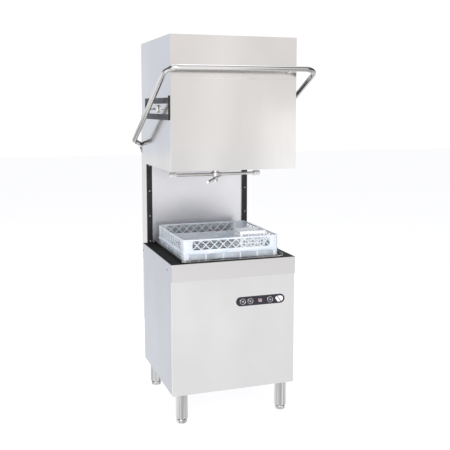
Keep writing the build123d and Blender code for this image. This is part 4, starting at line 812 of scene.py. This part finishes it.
# Studio: a glowing white floor, a pale surround with dark flanks and a grey ceiling, five soft lamps. The
# fades are where one tone of the surround gives way to the next, as the X, Y or Z of the way one looks.
studioLook = {"floorSize": 40, "floor": "#B0B0B2", "glow": 0.74, "front": "#FFFBFA", "back": "#FFFFFF",
              "backLeft": "#DFE4F0", "flank": "#4C5056", "ceiling": "#A6A8AC", "strength": 1.05,
              "rightFade": (-0.3, 0.0), "backFade": (-0.2, 0.2), "flankFade": (0.58, 0.8),
              "ceilingFade": (0.55, 0.85)}
bm = bmesh.new()
bmesh.ops.create_grid(bm, x_segments=2, y_segments=2, size=studioLook["floorSize"] / 2)
floorMesh = bpy.data.meshes.new("studio_floor")
bm.to_mesh(floorMesh)
bm.free()
floor = bpy.data.objects.new("studio_floor", floorMesh)
bpy.context.scene.collection.objects.link(floor)
floorFinish = startMaterial("paper_floor_backlit", {
    "Roughness": 0.9, "Specular IOR Level": 0.0, "Base Color": linearColour(studioLook["floor"]),
    "Emission Color": linearColour("#FFFFFF"), "Emission Strength": studioLook["glow"]})[0]
floorMesh.materials.append(floorFinish)

world = bpy.data.worlds.new("studio_surround")
bpy.context.scene.world = world
world.use_nodes = True
tree = world.node_tree
surround = tree.nodes["Background"]
direction = addNode(tree, "TexCoord").outputs["Generated"]
ways = addNode(tree, "SeparateXYZ", {0: direction}).outputs
toRight = spread(tree, ways[0], 0.0, 1.0, *studioLook["rightFade"])
backTint = blendColours(tree, toRight, linearColour(studioLook["backLeft"]), linearColour(studioLook["back"]))
toBack = spread(tree, ways[1], 0.0, 1.0, *studioLook["backFade"])
tint = blendColours(tree, toBack, linearColour(studioLook["front"]), backTint)
sideways = addNode(tree, "Math", {0: ways[0]}, operation="ABSOLUTE").outputs[0]
flank = spread(tree, sideways, 0.0, 1.0, *studioLook["flankFade"])
flanked = blendColours(tree, flank, tint, linearColour(studioLook["flank"]))
overhead = spread(tree, ways[2], 0.0, 1.0, *studioLook["ceilingFade"])
shown = blendColours(tree, overhead, flanked, linearColour(studioLook["ceiling"]))
seen = addNode(tree, "LightPath").outputs["Is Camera Ray"]
backdrop = blendColours(tree, seen, shown, (1.0, 1.0, 1.0, 1.0))
tree.links.new(backdrop, surround.inputs["Color"])
surround.inputs["Strength"].default_value = studioLook["strength"]

lamps = {
    "key": {"place": (-2.6, -3.4, 3.6), "aim": (0, 0, 0.9), "size": (2.8, 2.8), "power": 85, "roll": 0,
            "colour": "#FFFBF7"},
    "top": {"place": (0.4, 0.6, 4.4), "aim": (0, 0, 0.5), "size": (3.4, 3.4), "power": 55, "roll": 0,
            "colour": "#F4F7FF"},
    "bounce": {"place": (-1.8, -4.4, 0.8), "aim": (0, 0, 1.1), "size": (2.8, 1.4), "power": 42, "roll": 0,
               "colour": "#FFFFFF"},
    "low": {"place": (3.2, -6.0, 0.75), "aim": (0.2, 0, 1.2), "size": (1.5, 1.5), "power": 2.6, "roll": 0,
            "colour": "#FFFFFF"},
    "streak": {"place": (1.8, -6.0, 1.6), "aim": (-0.1, -0.3, 1.6), "size": (0.3, 2.1), "power": 0.4,
               "roll": -8, "colour": "#FFFFFF"},
}
for name, look in lamps.items():
    data = bpy.data.lights.new("lamp_" + name, "AREA")
    data.shape = "RECTANGLE"
    data.size, data.size_y = look["size"]
    data.energy = look["power"]
    data.color = linearColour(look["colour"])[:3]
    lamp = bpy.data.objects.new("lamp_" + name, data)
    bpy.context.scene.collection.objects.link(lamp)
    lamp.location = look["place"]
    facing = (Vector(look["aim"]) - lamp.location).to_track_quat("-Z", "Y").to_matrix()
    lamp.rotation_euler = (facing @ Matrix.Rotation(radians(look["roll"]), 3, "Z")).to_euler()

cameraLook = {"place": (-1.19098, -3.63136, 1.55715), "tilt": 83.237, "turn": -18.918, "lens": 58.54,
              "sensor": 36, "shift": -0.07}
cameraData = bpy.data.cameras.new("studio_camera")
cameraData.lens = cameraLook["lens"]
cameraData.sensor_width = cameraLook["sensor"]
cameraData.shift_y = cameraLook["shift"]
camera = bpy.data.objects.new("studio_camera", cameraData)
bpy.context.scene.collection.objects.link(camera)
camera.location = cameraLook["place"]
camera.rotation_euler = (radians(cameraLook["tilt"]), 0, radians(cameraLook["turn"]))
bpy.context.scene.camera = camera
bpy.context.scene.view_settings.view_transform = "Standard"
print("studio set")
